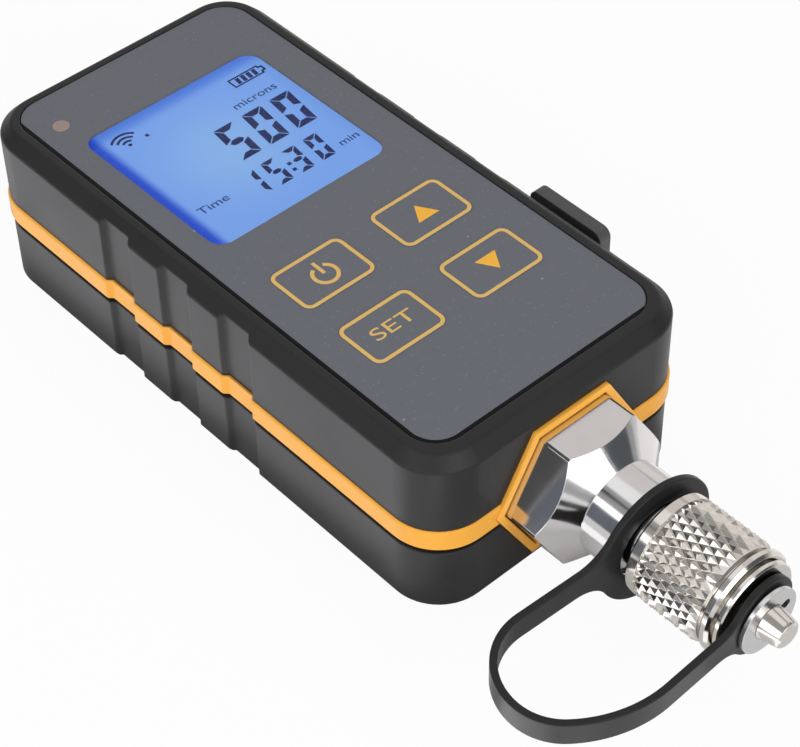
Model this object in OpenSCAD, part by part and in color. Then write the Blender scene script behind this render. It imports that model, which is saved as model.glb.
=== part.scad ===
// Pocket vacuum gauge with a flare inlet, a strapped dust cap and a backlit display.
// Lies on its back face on z = 0: +X is right of the display, +Y its upper end, +Z out of the face.
// Lengths are in millimetres.

/* [Housing] */
// Width of the housing walls, without the seam band
case_width = 46; // [44:0.5:50]
// Length of the housing walls, without the seam band
case_length = 94.4; // [93:0.2:100]
// Height of the rim over the back face
case_height = 27; // [27:0.2:29]
// Radius of the four upright corners
corner_radius = 7.4; // [6.5:0.1:9]
// Thickness of the side walls
wall = 2.6; // [2.5:0.1:3]
// Thickness of the face under the label
roof = 2; // [1.8:0.1:2.2]
// Thickness of the back
back_wall = 2; // [1.9:0.1:2.4]
// Width of the sloped edge round the face
slope_width = 1.8; // [1.2:0.1:1.9]
// Height of the sloped edge round the face
slope_height = 1.7; // [1.2:0.1:2]
// Small bevel along the back edge
back_bevel = 0.3; // [0.2:0.1:0.8]

/* [Seam band] */
// Height of the band's lower edge
band_low = 11.3; // [11:0.1:11.8]
// Height of the band
band_height = 3.3; // [3:0.1:3.8]
// How far the band stands out of the walls
band_proud = 0.3; // [0.2:0.1:0.5]
// Height of the shadow groove under the band
groove_height = 1; // [0.7:0.1:1.1]
// Depth of the shadow groove
groove_depth = 1; // [0.8:0.1:1.1]
// How far the rear half's tongue is set in from the wall
tongue_inset = 1.6; // [1.5:0.05:1.7]

/* [Finger grips] */
// Place of the middle grip along the side
grip_middle = 3.6; // [0:0.1:8]
// Spacing of the three grips
grip_pitch = 12.6; // [11:0.1:13]
// Length of a grip at the wall face
grip_length = 6.4; // [5:0.1:8]
// Depth of a grip
grip_depth = 0.7; // [0.4:0.05:0.8]

/* [Face label] */
// Width of the label film
label_width = 39.7; // [38:0.1:39.8]
// Length of the label film
label_length = 87.8; // [84:0.1:88]
// Place of the label's middle along the housing
label_middle = 0.33; // [0:0.01:0.5]
// Corner radius of the label film
label_corner = 4.5; // [3:0.1:6]
// Thickness of the label film
film = 0.4; // [0.3:0.05:0.5]
// Height of the raised key pads over the film
pad_height = 0.12; // [0.08:0.01:0.15]
// Depth of the face under the rim
label_depth = 0.55; // [0.52:0.01:0.7]
// Gap round the film's edge
film_gap = 0.15; // [0.1:0.01:0.25]

/* [Display] */
// Width of the opening in the label
window_width = 30.2; // [28:0.1:31]
// Height of the opening in the label
window_length = 30.2; // [28:0.1:31]
// Sideways place of the display's middle
window_x = -0.5; // [-0.6:0.05:0.6]
// Place of the display's middle along the housing
window_y = 17.7; // [17:0.1:18]
// Overlap of the label on the lens at each side
lens_overlap = 1.9; // [1.6:0.1:2]
// Thickness of the lens
lens_thick = 1; // [0.8:0.05:1.2]
// Side of the display panel
panel_side = 36; // [35:0.1:36.4]
// Thickness of the display panel
panel_thick = 1.6; // [1.4:0.1:1.8]
// Thickness of the light guide behind the panel
guide_thick = 1.7; // [1.4:0.1:2]

/* [Keys] */
// Sideways place of the key columns
key_x = 8.7; // [8:0.1:9.5]
// Place of the upper key row
key_y_upper = -10.3; // [-11:0.1:-9.5]
// Place of the lower key row
key_y_lower = -23.8; // [-25:0.1:-23]
// Width of a raised key pad
pad_width = 12.1; // [10:0.1:12.5]
// Length of a raised key pad
pad_length = 8.5; // [7:0.1:9]
// Corner radius of a raised key pad
pad_corner = 1.4; // [1:0.1:2.5]
// Diameter of a switch plunger
plunger_diameter = 3.5; // [3:0.1:4]
// Play between a plunger and its switch
plunger_play = 0.04; // [0.02:0.01:0.08]
// Travel of a plunger
plunger_travel = 0.25; // [0.2:0.05:0.35]
// Side of a switch body
switch_side = 6; // [5.5:0.1:6.5]
// Height of a switch body
switch_height = 3.1; // [2.9:0.1:3.2]
// Gap between a plunger and the film
film_play = 0.1; // [0.05:0.01:0.2]

/* [Status light] */
// Diameter of the light pipe
pipe_diameter = 2.5; // [2:0.1:3]
// Sideways place of the light pipe
pipe_x = -15.6; // [-16:0.1:-15]
// Place of the light pipe along the housing
pipe_y = 37.5; // [37.4:0.1:38]

/* [Main board] */
// Width of the main board
board_width = 38.6; // [37:0.1:39.5]
// Place of the board's inlet end
board_front = -34.4; // [-35:0.1:-34]
// Place of the board's far end
board_end = 38.5; // [38.4:0.1:38.6]
// Thickness of the board
board_thick = 1.6; // [1.4:0.1:1.8]
// Sideways place of the board screws
board_screw_x = 16.6; // [16:0.1:17]

/* [Cells] */
// Diameter of a cell
cell_diameter = 10.3; // [10:0.1:10.5]
// Length of a cell with its button
cell_length = 44.5; // [44:0.1:44.6]
// Play of the cells in the tray
cell_play = 0.2; // [0.1:0.05:0.3]
// Place of the tray's inlet end
tray_front = -10; // [-11:0.1:-9.5]
// Inside length of the tray
tray_length = 48; // [47.6:0.1:48.4]
// Thickness of the tray walls
tray_wall = 1.2; // [1:0.1:1.3]

/* [Inlet fitting] */
// Height of the inlet's axis over the back face
inlet_height = 12.7; // [12.5:0.05:12.9]
// Size of the steel hexagon across its flats
hex_flats = 19.8; // [19:0.1:20]
// How far the corners of the hexagon are turned off
hex_edge = 0.14; // [0.1:0.01:0.2]
// Size of the orange bezel across its flats
bezel_flats = 22.3; // [22:0.1:22.4]
// How far the bezel stands out of the wall
bezel_proud = 0.6; // [0.5:0.05:0.8]
// Gap between the hexagon and the bezel
hex_gap = 0.15; // [0.1:0.01:0.25]
// Gap between the bezel and the housing
bezel_gap = 0.05; // [0.03:0.01:0.1]
// Length of the hexagon's corners in front of the wall
hex_length = 5.6; // [5:0.1:6.2]
// Length of the cone between hexagon and neck
cone_length = 3.6; // [3:0.1:4]
// Diameter of the neck
neck_diameter = 13.9; // [13:0.1:14.5]
// Length of the neck
neck_length = 5.2; // [4.5:0.1:6]
// Diameter of the strap's groove behind the thread
strap_groove = 10.2; // [9.8:0.1:10.4]
// Outside diameter of the flare thread
thread_diameter = 11.11; // [11:0.01:11.2]
// Advance of the flare thread in one turn
thread_pitch = 1.27; // [1.2:0.01:1.3]
// Length of the flare thread
thread_length = 9.2; // [8.8:0.1:9.6]
// Length of the flare nose
nose_length = 1.9; // [1.7:0.1:2.1]
// Bore of the inlet
bore_diameter = 4.8; // [4:0.1:5]
// Diameter of the shank through the bulkhead
shank_diameter = 14; // [13.5:0.1:14.2]
// Length of the shank behind the bulkhead
shank_length = 6; // [5.6:0.1:6.4]
// Thickness of the bulkhead that holds the fitting
bulkhead = 2.5; // [2.2:0.1:2.8]
// Width of the bulkhead
bulkhead_width = 28; // [26:0.5:29]
// Thickness of the gasket behind the hexagon
gasket_thick = 0.8; // [0.6:0.1:1]
// Width of the gasket's rim round the shank
gasket_rim = 1.6; // [1.2:0.1:1.8]
// Thickness of the nut on the shank
nut_thick = 3.5; // [3:0.1:4]
// Width of the nut's rim round the shank, at its flats
nut_rim = 1.3; // [1.2:0.1:2]

/* [Sensor] */
// Diameter of the sensing tube
tube_diameter = 4.8; // [4:0.1:5.4]
// Length of the sensing tube in front of its header
tube_length = 10; // [8:0.5:12]
// Length of the header inside the chamber
header_length = 4; // [3:0.5:5]
// Diameter of the header's flange
flange_diameter = 10; // [9:0.1:11]
// Distance of the pins from the axis, sideways and up
pin_place = 1.8; // [1.6:0.1:2]
// Width of the sensor board
sensor_board_width = 14; // [12:0.5:16]
// Thickness of the sensor board
sensor_board_thick = 1.2; // [1:0.1:1.4]
// How far the sensor board reaches below the axis
sensor_board_drop = 6; // [5:0.1:7]

/* [Radio module] */
// Width of the radio module
radio_width = 12; // [11:0.5:13]
// Length of the radio module
radio_length = 16; // [14:0.5:18]
// Height of the radio module
radio_height = 2; // [1.6:0.1:2.4]
// Sideways place of the module's near edge
radio_x = 3; // [2:0.5:4]
// Place of the module's near end
radio_y = -30; // [-30:0.5:-26]

/* [Dust cap] */
// Diameter over the knurl
knurl_diameter = 15.1; // [14.7:0.1:15.5]
// Diameter of the smooth collars
collar_diameter = 14.9; // [14.5:0.1:15]
// Gap between the strap's groove and the cap
cap_gap = 1.1; // [0.9:0.1:1.4]
// Length of the back collar
collar_back = 1.6; // [1.2:0.1:2]
// Length of the knurl
knurl_length = 10.1; // [9.5:0.1:10.6]
// Number of diamonds round the knurl
knurl_count = 36; // [30:1:40]
// Number of half diamonds along the knurl
knurl_rows = 8; // [6:2:10]
// Depth of the knurl
knurl_depth = 0.5; // [0.4:0.05:0.6]
// Width of the groove in front of the knurl
cap_groove = 0.6; // [0.4:0.1:0.8]
// Length of the front collar
collar_front = 1.3; // [1:0.1:1.6]
// Width of the groove in front of the front collar
shoulder_groove = 0.3; // [0.2:0.05:0.4]
// Diameter of the disc behind the strap
shoulder_diameter = 13.6; // [13.2:0.1:14]
// Length of the disc
shoulder_length = 0.9; // [0.7:0.1:1.2]
// Diameter of the stud
stud_diameter = 5; // [4.8:0.1:5.4]
// Length of the stud's tapered head
taper_length = 2.6; // [2.2:0.1:3]
// Diameter at the end of the tapered head
tip_diameter = 4; // [3.6:0.1:4.4]
// Length of the rounded tip
tip_length = 0.5; // [0.4:0.1:0.7]
// Radial play of the cap on the thread
thread_play = 0.06; // [0.03:0.01:0.09]
// Thickness of the seal inside the cap
seal_thick = 1; // [0.8:0.1:1.2]

/* [Strap and clip] */
// Thickness of the strap
strap_thick = 1; // [0.9:0.05:1.1]
// Width of the strap's strip
strap_width = 3.7; // [3.4:0.1:4]
// Outside diameter of the strap's large ring
ring_large = 18.6; // [18:0.1:19]
// Diameter of the large ring's loose hole
ring_hole = 12; // [11.6:0.1:12.4]
// Width of the grooves that hold the strap's rings
ring_room = 1.7; // [1.6:0.05:1.9]
// How far each leg of the strap leans out
strap_splay = 2.5; // [1.5:0.1:3]
// Outside diameter of the strap's small ring
ring_small = 11.2; // [10.6:0.1:12]
// Radius of the hollow flare at the large ring
flare_large = 6; // [5:0.1:7]
// Radius of the hollow flare at the small ring
flare_small = 5; // [4:0.1:6]
// How far the loop's middle line reaches to the side
loop_reach = 32; // [31:0.1:33]
// Radius of the bend next to the large ring's leg
bend_back = 9.1; // [8.8:0.1:9.4]
// Radius of the bend at the loop's tip
bend_tip = 7.9; // [7.6:0.1:8.2]
// Turn of the bend at the loop's tip
tip_turn = 50; // [48:1:54]
// Play of the strap's rings
ring_play = 0.08; // [0.05:0.01:0.1]
// Diameter of the retaining clip
clip_diameter = 9.6; // [9:0.1:10.4]
// Thickness of the retaining clip
clip_thick = 0.6; // [0.5:0.05:0.8]
// Diameter of the stud's groove for the clip
clip_groove = 3.6; // [3.4:0.1:4]
// Radial play of the clip in its groove
clip_play = 0.05; // [0.03:0.01:0.09]
// Width of the clip's slot
slot_width = 1.5; // [1.2:0.1:2]
// Reach of the clip's slot
slot_reach = 3; // [2.6:0.1:3.4]
// Turn of the clip's slot from the sideways direction
slot_turn = 18; // [0:1:60]

/* [Side hook] */
// Place of the hook's middle along the side
hook_middle = -20.9; // [-22:0.1:-19]
// Length of the hook
hook_length = 13.4; // [12:0.1:14]
// Thickness of the hook's plate
hook_thick = 2; // [1.8:0.1:2.4]
// Gap between the hook's plate and the wall
hook_gap = 2.4; // [2:0.1:3]
// Height of the hook's upper edge
hook_top = 23.7; // [22:0.1:24.4]
// Height of the hook's lower edge
hook_low = 4.4; // [4:0.1:5]
// Height of the hook's foot
hook_foot = 5.6; // [5:0.1:6]
// Corner radius of the hook
hook_corner = 1.4; // [1:0.1:2]

/* [Screws] */
// Diameter of the case screws
screw_diameter = 2.5; // [2.3:0.1:2.6]
// Diameter of a case screw's head
head_diameter = 4.6; // [4.2:0.1:4.8]
// Height of a case screw's head
head_height = 1.6; // [1.4:0.1:1.8]
// Diameter of the small screws
small_screw = 1.8; // [1.6:0.1:1.9]
// Diameter of a small screw's head
small_head = 3.4; // [3:0.1:3.6]
// Radial play of screws in their holes
screw_play = 0.02; // [0.01:0.01:0.05]
// Radial play of parts that drop in
drop_play = 0.1; // [0.05:0.01:0.15]

/* [Hidden] */
$fn = 64;
eps = 0.02;
far = 60;
half_width = case_width / 2;
half_length = case_length / 2;
inner_corner = corner_radius - wall;
seam_height = band_low + band_height;
face_height = case_height - label_depth;
roof_low = face_height - roof;
film_top = face_height + film;
lens_low = face_height - lens_thick;
panel_low = roof_low - panel_thick;
board_top = panel_low - guide_thick;
board_low = board_top - board_thick;
lens_width = window_width + 2 * lens_overlap;
lens_length = window_length + 2 * lens_overlap;
opening_width = lens_width - 1.4;
opening_length = lens_length - 1.4;
plunger_top = face_height - film_play;
plunger_foot = board_top + 1;
plunger_flange = plunger_foot + 1.2;
key_places = [[-key_x, key_y_upper], [key_x, key_y_upper], [-key_x, key_y_lower], [key_x, key_y_lower]];
case_screw_x = half_width - 6;
case_screw_front = -half_length + 9.7;
case_screw_end = half_length - 5.9;
case_screw_places = [
  [-case_screw_x, case_screw_front],
  [case_screw_x, case_screw_front],
  [-case_screw_x, case_screw_end],
  [case_screw_x, case_screw_end]
];
boss_radius = 2.4;
boss_low = 9;
head_seat = 3.4;
case_screw_length = 13;
board_screw_front = board_front + 3.2;
board_screw_end = window_y - panel_side / 2 - 2.4;
board_screw_places = [
  [-board_screw_x, board_screw_front],
  [board_screw_x, board_screw_front],
  [-board_screw_x, board_screw_end],
  [board_screw_x, board_screw_end]
];
board_boss = 2;
board_screw_length = 4.2;
cell_radius = cell_diameter / 2;
door_thick = 1.5;
cell_height = back_wall + cell_radius + cell_play / 2;
tray_width = 2 * cell_diameter + 3 * cell_play;
tray_top = back_wall + cell_diameter + 2 * cell_play;
tray_end = tray_front + tray_length;
door_front = tray_front - 7.5;
door_end = tray_end + 1.2;
door_width = tray_width + 4;
door_screw_y = tray_front - 4.2;
door_boss_top = 8;
cell_middle = tray_front + tray_length / 2;
contact_thick = 0.4;
contact_width = 7.2;
contact_height = 8;
spring_width = 4.8;
button_diameter = 3.8;
button_length = 1;
hex_radius = hex_flats / sqrt(3);
hex_turned = hex_radius - hex_edge;
bezel_radius = bezel_flats / sqrt(3);
bezel_inner = hex_radius + hex_gap * 2 / sqrt(3);
bezel_bevel = 0.12;
bulkhead_face = half_length - wall;
bulkhead_back = bulkhead_face - bulkhead;
shank_end = bulkhead_back - shank_length;
gasket_face = bulkhead_face + gasket_thick;
cone_start = half_length + hex_length;
neck_start = cone_start + cone_length;
groove_start = neck_start + neck_length;
groove_end = groove_start + ring_room;
thread_end = groove_end + thread_length;
nose_end = thread_end + nose_length;
chamber_diameter = 8;
chamber_end = neck_start;
thread_radius = thread_diameter / 2;
thread_root = thread_radius - 0.54 * thread_pitch;
thread_lead = 0.5;
thread_ridges = floor((thread_length - 2 * thread_lead) / thread_pitch);
gasket_radius = shank_diameter / 2 + gasket_rim;
nut_radius = (shank_diameter / 2 + nut_rim) * 2 / sqrt(3);
knurl_tip = knurl_diameter / 2;
knurl_root = knurl_tip - knurl_depth;
collar_radius = collar_diameter / 2;
cap_groove_radius = collar_radius - 0.9;
cap_back = groove_end + cap_gap;
knurl_start = cap_back + collar_back;
knurl_end = knurl_start + knurl_length;
collar_start = knurl_end + cap_groove;
cap_front = collar_start + collar_front;
shoulder_start = cap_front + shoulder_groove;
shoulder_end = shoulder_start + shoulder_length;
clip_start = shoulder_end + ring_room;
clip_end = clip_start + clip_thick + 2 * clip_play;
taper_end = clip_end + taper_length;
stud_end = taper_end + tip_length;
cap_bore = thread_radius + thread_play;
seal_end = nose_end + seal_thick;
ring_back = groove_start + ring_room / 2;
ring_front = shoulder_end + ring_room / 2;
ring_drop = ring_hole / 2 - strap_groove / 2 - ring_play;
leg_back = (loop_reach - bend_back * (1 + sin(strap_splay))) / cos(strap_splay);
tip_place = ring_back - leg_back * sin(strap_splay) + bend_back * cos(strap_splay);
tip_side = loop_reach - bend_tip * (1 - cos(tip_turn));
tip_ahead = ring_front - tip_place - bend_tip * sin(tip_turn);
front_side = cos(tip_turn) + sin(strap_splay);
front_ahead = cos(strap_splay) - sin(tip_turn);
front_share = front_ahead + front_side * tan(strap_splay);
bend_front = (tip_ahead + tip_side * tan(strap_splay)) / front_share;
leg_front = (tip_side - bend_front * front_side) / cos(strap_splay);
bend_lap = 1;
leg_lap = 0.2;
header_radius = chamber_diameter / 2 - screw_play;
header_end = shank_end + header_length;
tube_end = header_end + tube_length;
flange_thick = 1;
pin_length = 3.2;
pin_radius = 0.25;
hook_inner = half_width + hook_gap;
hook_screw_height = hook_low + hook_foot / 2;
hook_screw_places = [hook_middle - hook_length / 4, hook_middle + hook_length / 4];
hook_screw_bite = 1.6;
hook_screw_length = wall + hook_screw_bite;

// Plain rounded rectangle
module round_rect(width, length, radius) {
  square([width, length - 2 * radius], center = true);
  square([width - 2 * radius, length], center = true);
  for (x = [-1, 1], y = [-1, 1])
    translate([x * (width / 2 - radius), y * (length / 2 - radius)])
      circle(radius);
}

// Upright rounded block between two heights
module round_block(width, length, radius, low, high) {
  translate([0, 0, low])
    linear_extrude(high - low)
      round_rect(width, length, radius);
}

// Rounded block whose upright edge follows points of inset and height, listed from bottom to top
module profiled_block(width, length, radius, edge) {
  last = len(edge) - 1;
  run_x = width / 2 - radius;
  run_y = length / 2 - radius;
  corner = concat([for (p = edge) [radius - p[0], p[1]]], [[0, edge[last][1]], [0, edge[0][1]]]);
  across = concat(
    [for (p = edge) [width / 2 - p[0], p[1]]],
    [for (i = [last : -1 : 0]) [p_left(width, edge[i]), edge[i][1]]]
  );
  along = concat(
    [for (p = edge) [length / 2 - p[0], p[1]]],
    [for (i = [last : -1 : 0]) [p_left(length, edge[i]), edge[i][1]]]
  );
  for (x = [-1, 1], y = [-1, 1])
    translate([x * run_x, y * run_y, 0])
      rotate_extrude()
        polygon(corner);
  rotate([90, 0, 0])
    linear_extrude(2 * run_y, center = true)
      polygon(across);
  rotate([90, 0, 90])
    linear_extrude(2 * run_x, center = true)
      polygon(along);
}

// Left end of an edge point
function p_left(size, point) = point[0] - size / 2;

// Turns a shape so that its height runs along the inlet's axis
module on_axis() {
  translate([0, 0, inlet_height])
    rotate([90, 0, 0])
      children();
}

// Round piece between two distances along the inlet's axis
module axis_round(radius, start, end) {
  on_axis()
    translate([0, 0, start])
      cylinder(r = radius, h = end - start);
}

// Six-sided piece between two distances along the inlet's axis
module axis_hex(radius, start, end) {
  on_axis()
    translate([0, 0, start])
      cylinder(r = radius, h = end - start, $fn = 6);
}

// Turned piece from points of radius and distance
module axis_turned(points) {
  on_axis()
    rotate_extrude()
      polygon(points);
}

// Three upright hollows at each side, set out by the given amount
module grips(out) {
  for (side = [-1, 1], i = [-1, 0, 1])
    translate([side * (half_width + out), grip_middle + i * grip_pitch, -eps])
      linear_extrude(case_height)
        polygon([
          [side * far / 10, -grip_length / 2],
          [0, -grip_length / 2],
          [-side * grip_depth, -grip_length / 2 + grip_depth],
          [-side * grip_depth, grip_length / 2 - grip_depth],
          [0, grip_length / 2],
          [side * far / 10, grip_length / 2]
        ]);
}

// Opening for the bezel through the front wall
module bezel_opening() {
  axis_hex(bezel_radius + bezel_gap * 2 / sqrt(3), bulkhead_face, half_length + far / 10);
}

// Upright pan-head screw standing on its head at z = 0
module screw(diameter, head, height, length) {
  difference() {
    union() {
      cylinder(d = head, h = height);
      translate([0, 0, height])
        cylinder(d = diameter, h = length);
    }
    for (turn = [0, 90])
      rotate([0, 0, turn])
        translate([-head * 0.3, -head * 0.07, -eps])
          cube([head * 0.6, head * 0.14, height * 0.55]);
  }
}

module front_case() {
  color("#2a2a2c")
    difference() {
      union() {
        difference() {
          profiled_block(case_width, case_length, corner_radius, [
            [0, seam_height],
            [0, case_height - slope_height - 0.35],
            [0.12, case_height - slope_height],
            [slope_width - 0.25, case_height - 0.28],
            [slope_width, case_height - 0.08],
            [slope_width + 0.3, case_height]
          ]);
          round_block(
            case_width - 2 * wall,
            case_length - 2 * wall,
            inner_corner,
            seam_height - eps,
            roof_low
          );
        }
        for (place = case_screw_places)
          translate([place[0], place[1], boss_low])
            cylinder(r = boss_radius, h = roof_low - boss_low + eps);
        for (place = board_screw_places)
          translate([place[0], place[1], board_top])
            cylinder(r = board_boss, h = roof_low - board_top + eps);
        translate([-bulkhead_width / 2, -bulkhead_face - eps, inlet_height])
          cube([bulkhead_width, bulkhead + eps, roof_low - inlet_height + eps]);
      }
      translate([0, label_middle, 0])
        round_block(
          label_width + 2 * film_gap,
          label_length + 2 * film_gap,
          label_corner + film_gap,
          face_height,
          case_height + 1
        );
      translate([window_x, window_y, 0]) {
        round_block(lens_width + drop_play, lens_length + drop_play, 2, lens_low, face_height + eps);
        round_block(opening_width, opening_length, 1.5, roof_low - eps, lens_low + eps);
      }
      for (place = key_places)
        translate([place[0], place[1], roof_low - eps])
          cylinder(d = plunger_diameter + 0.8, h = roof + 2 * eps);
      translate([pipe_x, pipe_y, roof_low - eps])
        cylinder(d = pipe_diameter + 2 * screw_play, h = roof + 2 * eps);
      for (place = case_screw_places)
        translate([place[0], place[1], boss_low - eps])
          cylinder(d = screw_diameter + 2 * screw_play, h = 9);
      for (place = board_screw_places)
        translate([place[0], place[1], board_top - eps])
          cylinder(d = small_screw + 2 * screw_play, h = 3);
      bezel_opening();
      axis_round(shank_diameter / 2 + drop_play, bulkhead_back - eps, bulkhead_face + eps);
      grips(0);
    }
}

module rear_case() {
  color("#2a2a2c")
    difference() {
      union() {
        difference() {
          profiled_block(case_width, case_length, corner_radius, [
            [back_bevel, 0],
            [0, back_bevel],
            [0, band_low - groove_height],
            [groove_depth, band_low - groove_height],
            [groove_depth, band_low],
            [tongue_inset, band_low],
            [tongue_inset, seam_height]
          ]);
          round_block(
            case_width - 2 * wall,
            case_length - 2 * wall,
            inner_corner,
            back_wall,
            seam_height + eps
          );
        }
        for (place = case_screw_places)
          translate([place[0], place[1], back_wall - eps])
            cylinder(r = 3.5, h = boss_low - back_wall + eps);
        translate([0, door_screw_y, back_wall - eps])
          cylinder(r = 2.6, h = door_boss_top - back_wall + eps);
        translate([-tray_width / 2 - tray_wall, tray_front - tray_wall, back_wall - eps])
          cube([tray_width + 2 * tray_wall, tray_length + 2 * tray_wall, tray_top + tray_wall - back_wall]);
        translate([-bulkhead_width / 2, -bulkhead_face - eps, back_wall - eps])
          cube([bulkhead_width, bulkhead + eps, inlet_height - back_wall + eps]);
      }
      translate([-tray_width / 2, tray_front, -eps])
        cube([tray_width, tray_length, tray_top + eps]);
      translate([-door_width / 2 - drop_play, door_front - drop_play, -eps])
        cube([door_width + 2 * drop_play, door_end - door_front + 2 * drop_play, door_thick + eps]);
      translate([0, door_screw_y, door_thick - eps])
        cylinder(d = small_screw + 2 * screw_play, h = 5.4);
      for (place = case_screw_places)
        translate([place[0], place[1], -eps]) {
          cylinder(d = head_diameter + 0.5, h = head_seat + eps);
          cylinder(d = screw_diameter + 0.4, h = boss_low + 2 * eps);
        }
      for (y = hook_screw_places)
        translate([half_width - wall - eps, y, hook_screw_height])
          rotate([0, 90, 0])
            cylinder(d = small_screw + 0.3, h = wall + 2 * eps);
      bezel_opening();
      axis_round(shank_diameter / 2 + drop_play, bulkhead_back - eps, bulkhead_face + eps);
      grips(0);
    }
}

module seam_band() {
  color("#f5a030")
    difference() {
      profiled_block(case_width, case_length, corner_radius, [
        [0.15 - band_proud, band_low],
        [-band_proud, band_low + 0.15],
        [-band_proud, seam_height - 0.4],
        [0.1 - band_proud, seam_height - 0.12],
        [0.3 - band_proud, seam_height]
      ]);
      round_block(
        case_width - 2 * tongue_inset + drop_play,
        case_length - 2 * tongue_inset + drop_play,
        corner_radius - tongue_inset,
        band_low - eps,
        seam_height + eps
      );
      grips(band_proud);
      bezel_opening();
    }
}

module hex_bezel() {
  color("#f5a030")
    difference() {
      axis_hex(bezel_radius, bulkhead_face, half_length + bezel_proud);
      axis_hex(bezel_inner, bulkhead_face - eps, half_length + bezel_proud + eps);
      intersection() {
        bezel_flare(30);
        bezel_flare(90);
        bezel_flare(150);
      }
    }
}

// Sloped slot across one pair of the bezel's inner flats
module bezel_flare(turn) {
  inner = bezel_inner * sqrt(3) / 2;
  start = half_length + bezel_proud - bezel_bevel;
  end = half_length + bezel_proud + eps;
  on_axis()
    rotate([0, 0, turn])
      rotate([90, 0, 0])
        linear_extrude(far, center = true)
          polygon([
            [-inner, start],
            [inner, start],
            [inner + bezel_bevel, end],
            [-inner - bezel_bevel, end]
          ]);
}

module face_label() {
  color("#62666e")
    difference() {
      union() {
        translate([0, label_middle, 0])
          round_block(label_width, label_length, label_corner, face_height, film_top);
        for (place = key_places)
          translate([place[0], place[1], 0])
            round_block(pad_width, pad_length, pad_corner, film_top - eps, film_top + pad_height);
      }
      translate([window_x, window_y, 0])
        round_block(window_width, window_length, 2.4, face_height - eps, film_top + eps);
      translate([pipe_x, pipe_y, face_height - eps])
        cylinder(d = pipe_diameter + 2 * screw_play, h = film + 2 * eps);
    }
}

module display_lens() {
  color("#c8d8f0", 0.4)
    translate([window_x, window_y, 0])
      round_block(lens_width, lens_length, 2, lens_low, face_height);
}

module display_panel() {
  color("#7aa6e8")
    translate([window_x, window_y, 0])
      round_block(panel_side, panel_side, 0.5, panel_low, roof_low);
}

module light_guide() {
  color("#e8eef6")
    translate([window_x, window_y, 0])
      round_block(panel_side, panel_side, 0.5, board_top, panel_low);
}

module main_board() {
  color("#1f6b45")
    difference() {
      translate([-board_width / 2, board_front, board_low])
        cube([board_width, board_end - board_front, board_thick]);
      for (place = board_screw_places)
        translate([place[0], place[1], board_low - eps])
          cylinder(d = small_screw + 0.4, h = board_thick + 2 * eps);
    }
}

module board_screws() {
  color("#c0c4c8")
    for (place = board_screw_places)
      translate([place[0], place[1], board_low - 1.2])
        screw(small_screw, small_head, 1.2, board_screw_length);
}

module key_switches() {
  color("#303236")
    for (place = key_places)
      translate([place[0], place[1], board_top])
        difference() {
          translate([-switch_side / 2, -switch_side / 2, 0])
            cube([switch_side, switch_side, switch_height]);
          translate([0, 0, plunger_foot - plunger_travel - board_top])
            cylinder(d = plunger_diameter + 0.8 + 2 * plunger_play, h = 1.2 + plunger_travel);
          translate([0, 0, 1])
            cylinder(d = plunger_diameter + 2 * plunger_play, h = switch_height);
        }
}

// Switch plunger with the flange that keeps it in its switch
module plunger(place) {
  color("#e8e4d8")
    translate([place[0], place[1], 0]) {
      translate([0, 0, plunger_foot])
        cylinder(d = plunger_diameter, h = plunger_top - plunger_foot);
      translate([0, 0, plunger_foot])
        cylinder(d = plunger_diameter + 0.8, h = plunger_flange - plunger_foot);
    }
}

module plunger_power() {
  plunger(key_places[0]);
}

module plunger_up() {
  plunger(key_places[1]);
}

module plunger_set() {
  plunger(key_places[2]);
}

module plunger_down() {
  plunger(key_places[3]);
}

module status_pipe() {
  color("#d8b8a8")
    translate([pipe_x, pipe_y, 0]) {
      translate([0, 0, roof_low - 1])
        cylinder(d = pipe_diameter, h = film_top - roof_low + 1);
      translate([0, 0, roof_low - 1])
        cylinder(d = pipe_diameter + 0.6, h = 1);
    }
}

module status_led() {
  color("#f0f0e0")
    translate([pipe_x, pipe_y, board_top]) {
      translate([-0.8, -0.8, 0])
        cube([1.6, 1.6, 0.8]);
      cylinder(d = 1.2, h = roof_low - 1 - board_top);
    }
}

module radio_module() {
  color("#b8bcc0")
    translate([radio_x, radio_y, board_low - radio_height])
      cube([radio_width, radio_length, radio_height]);
}

module battery_cells() {
  color("#7c8a4a")
    for (side = [-1, 1])
      translate([side * (cell_radius + cell_play / 2), cell_middle, cell_height])
        rotate([side * 90, 0, 0]) {
          translate([0, 0, -cell_length / 2])
            cylinder(r = cell_radius, h = cell_length - button_length);
          translate([0, 0, cell_length / 2 - button_length - eps])
            cylinder(d = button_diameter, h = button_length + eps);
        }
}

// Bent spring plate between a cell's end and the tray wall
module contact(depth) {
  middle = contact_height / 2 + 0.3;
  translate([-contact_width / 2, 0, 0])
    cube([contact_width, contact_thick, contact_height]);
  translate([-spring_width / 2, 0, 0])
    rotate([90, 0, 90])
      linear_extrude(spring_width)
        polygon([
          [contact_thick, 0.6],
          [depth, middle - 0.3],
          [depth, middle + 0.3],
          [contact_thick, contact_height - 0.6],
          [contact_thick, contact_height - 1.2],
          [depth - 0.5, middle],
          [contact_thick, 1.2]
        ]);
}

module battery_contacts() {
  end_gap = (tray_length - cell_length) / 2;
  color("#d8c070")
    for (side = [-1, 1]) {
      translate([side * (cell_radius + cell_play / 2), tray_front, cell_height - contact_height / 2 - 0.3])
        contact(end_gap);
      translate([side * (cell_radius + cell_play / 2), tray_end, cell_height - contact_height / 2 - 0.3])
        rotate([0, 0, 180])
          contact(end_gap);
    }
}

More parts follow.
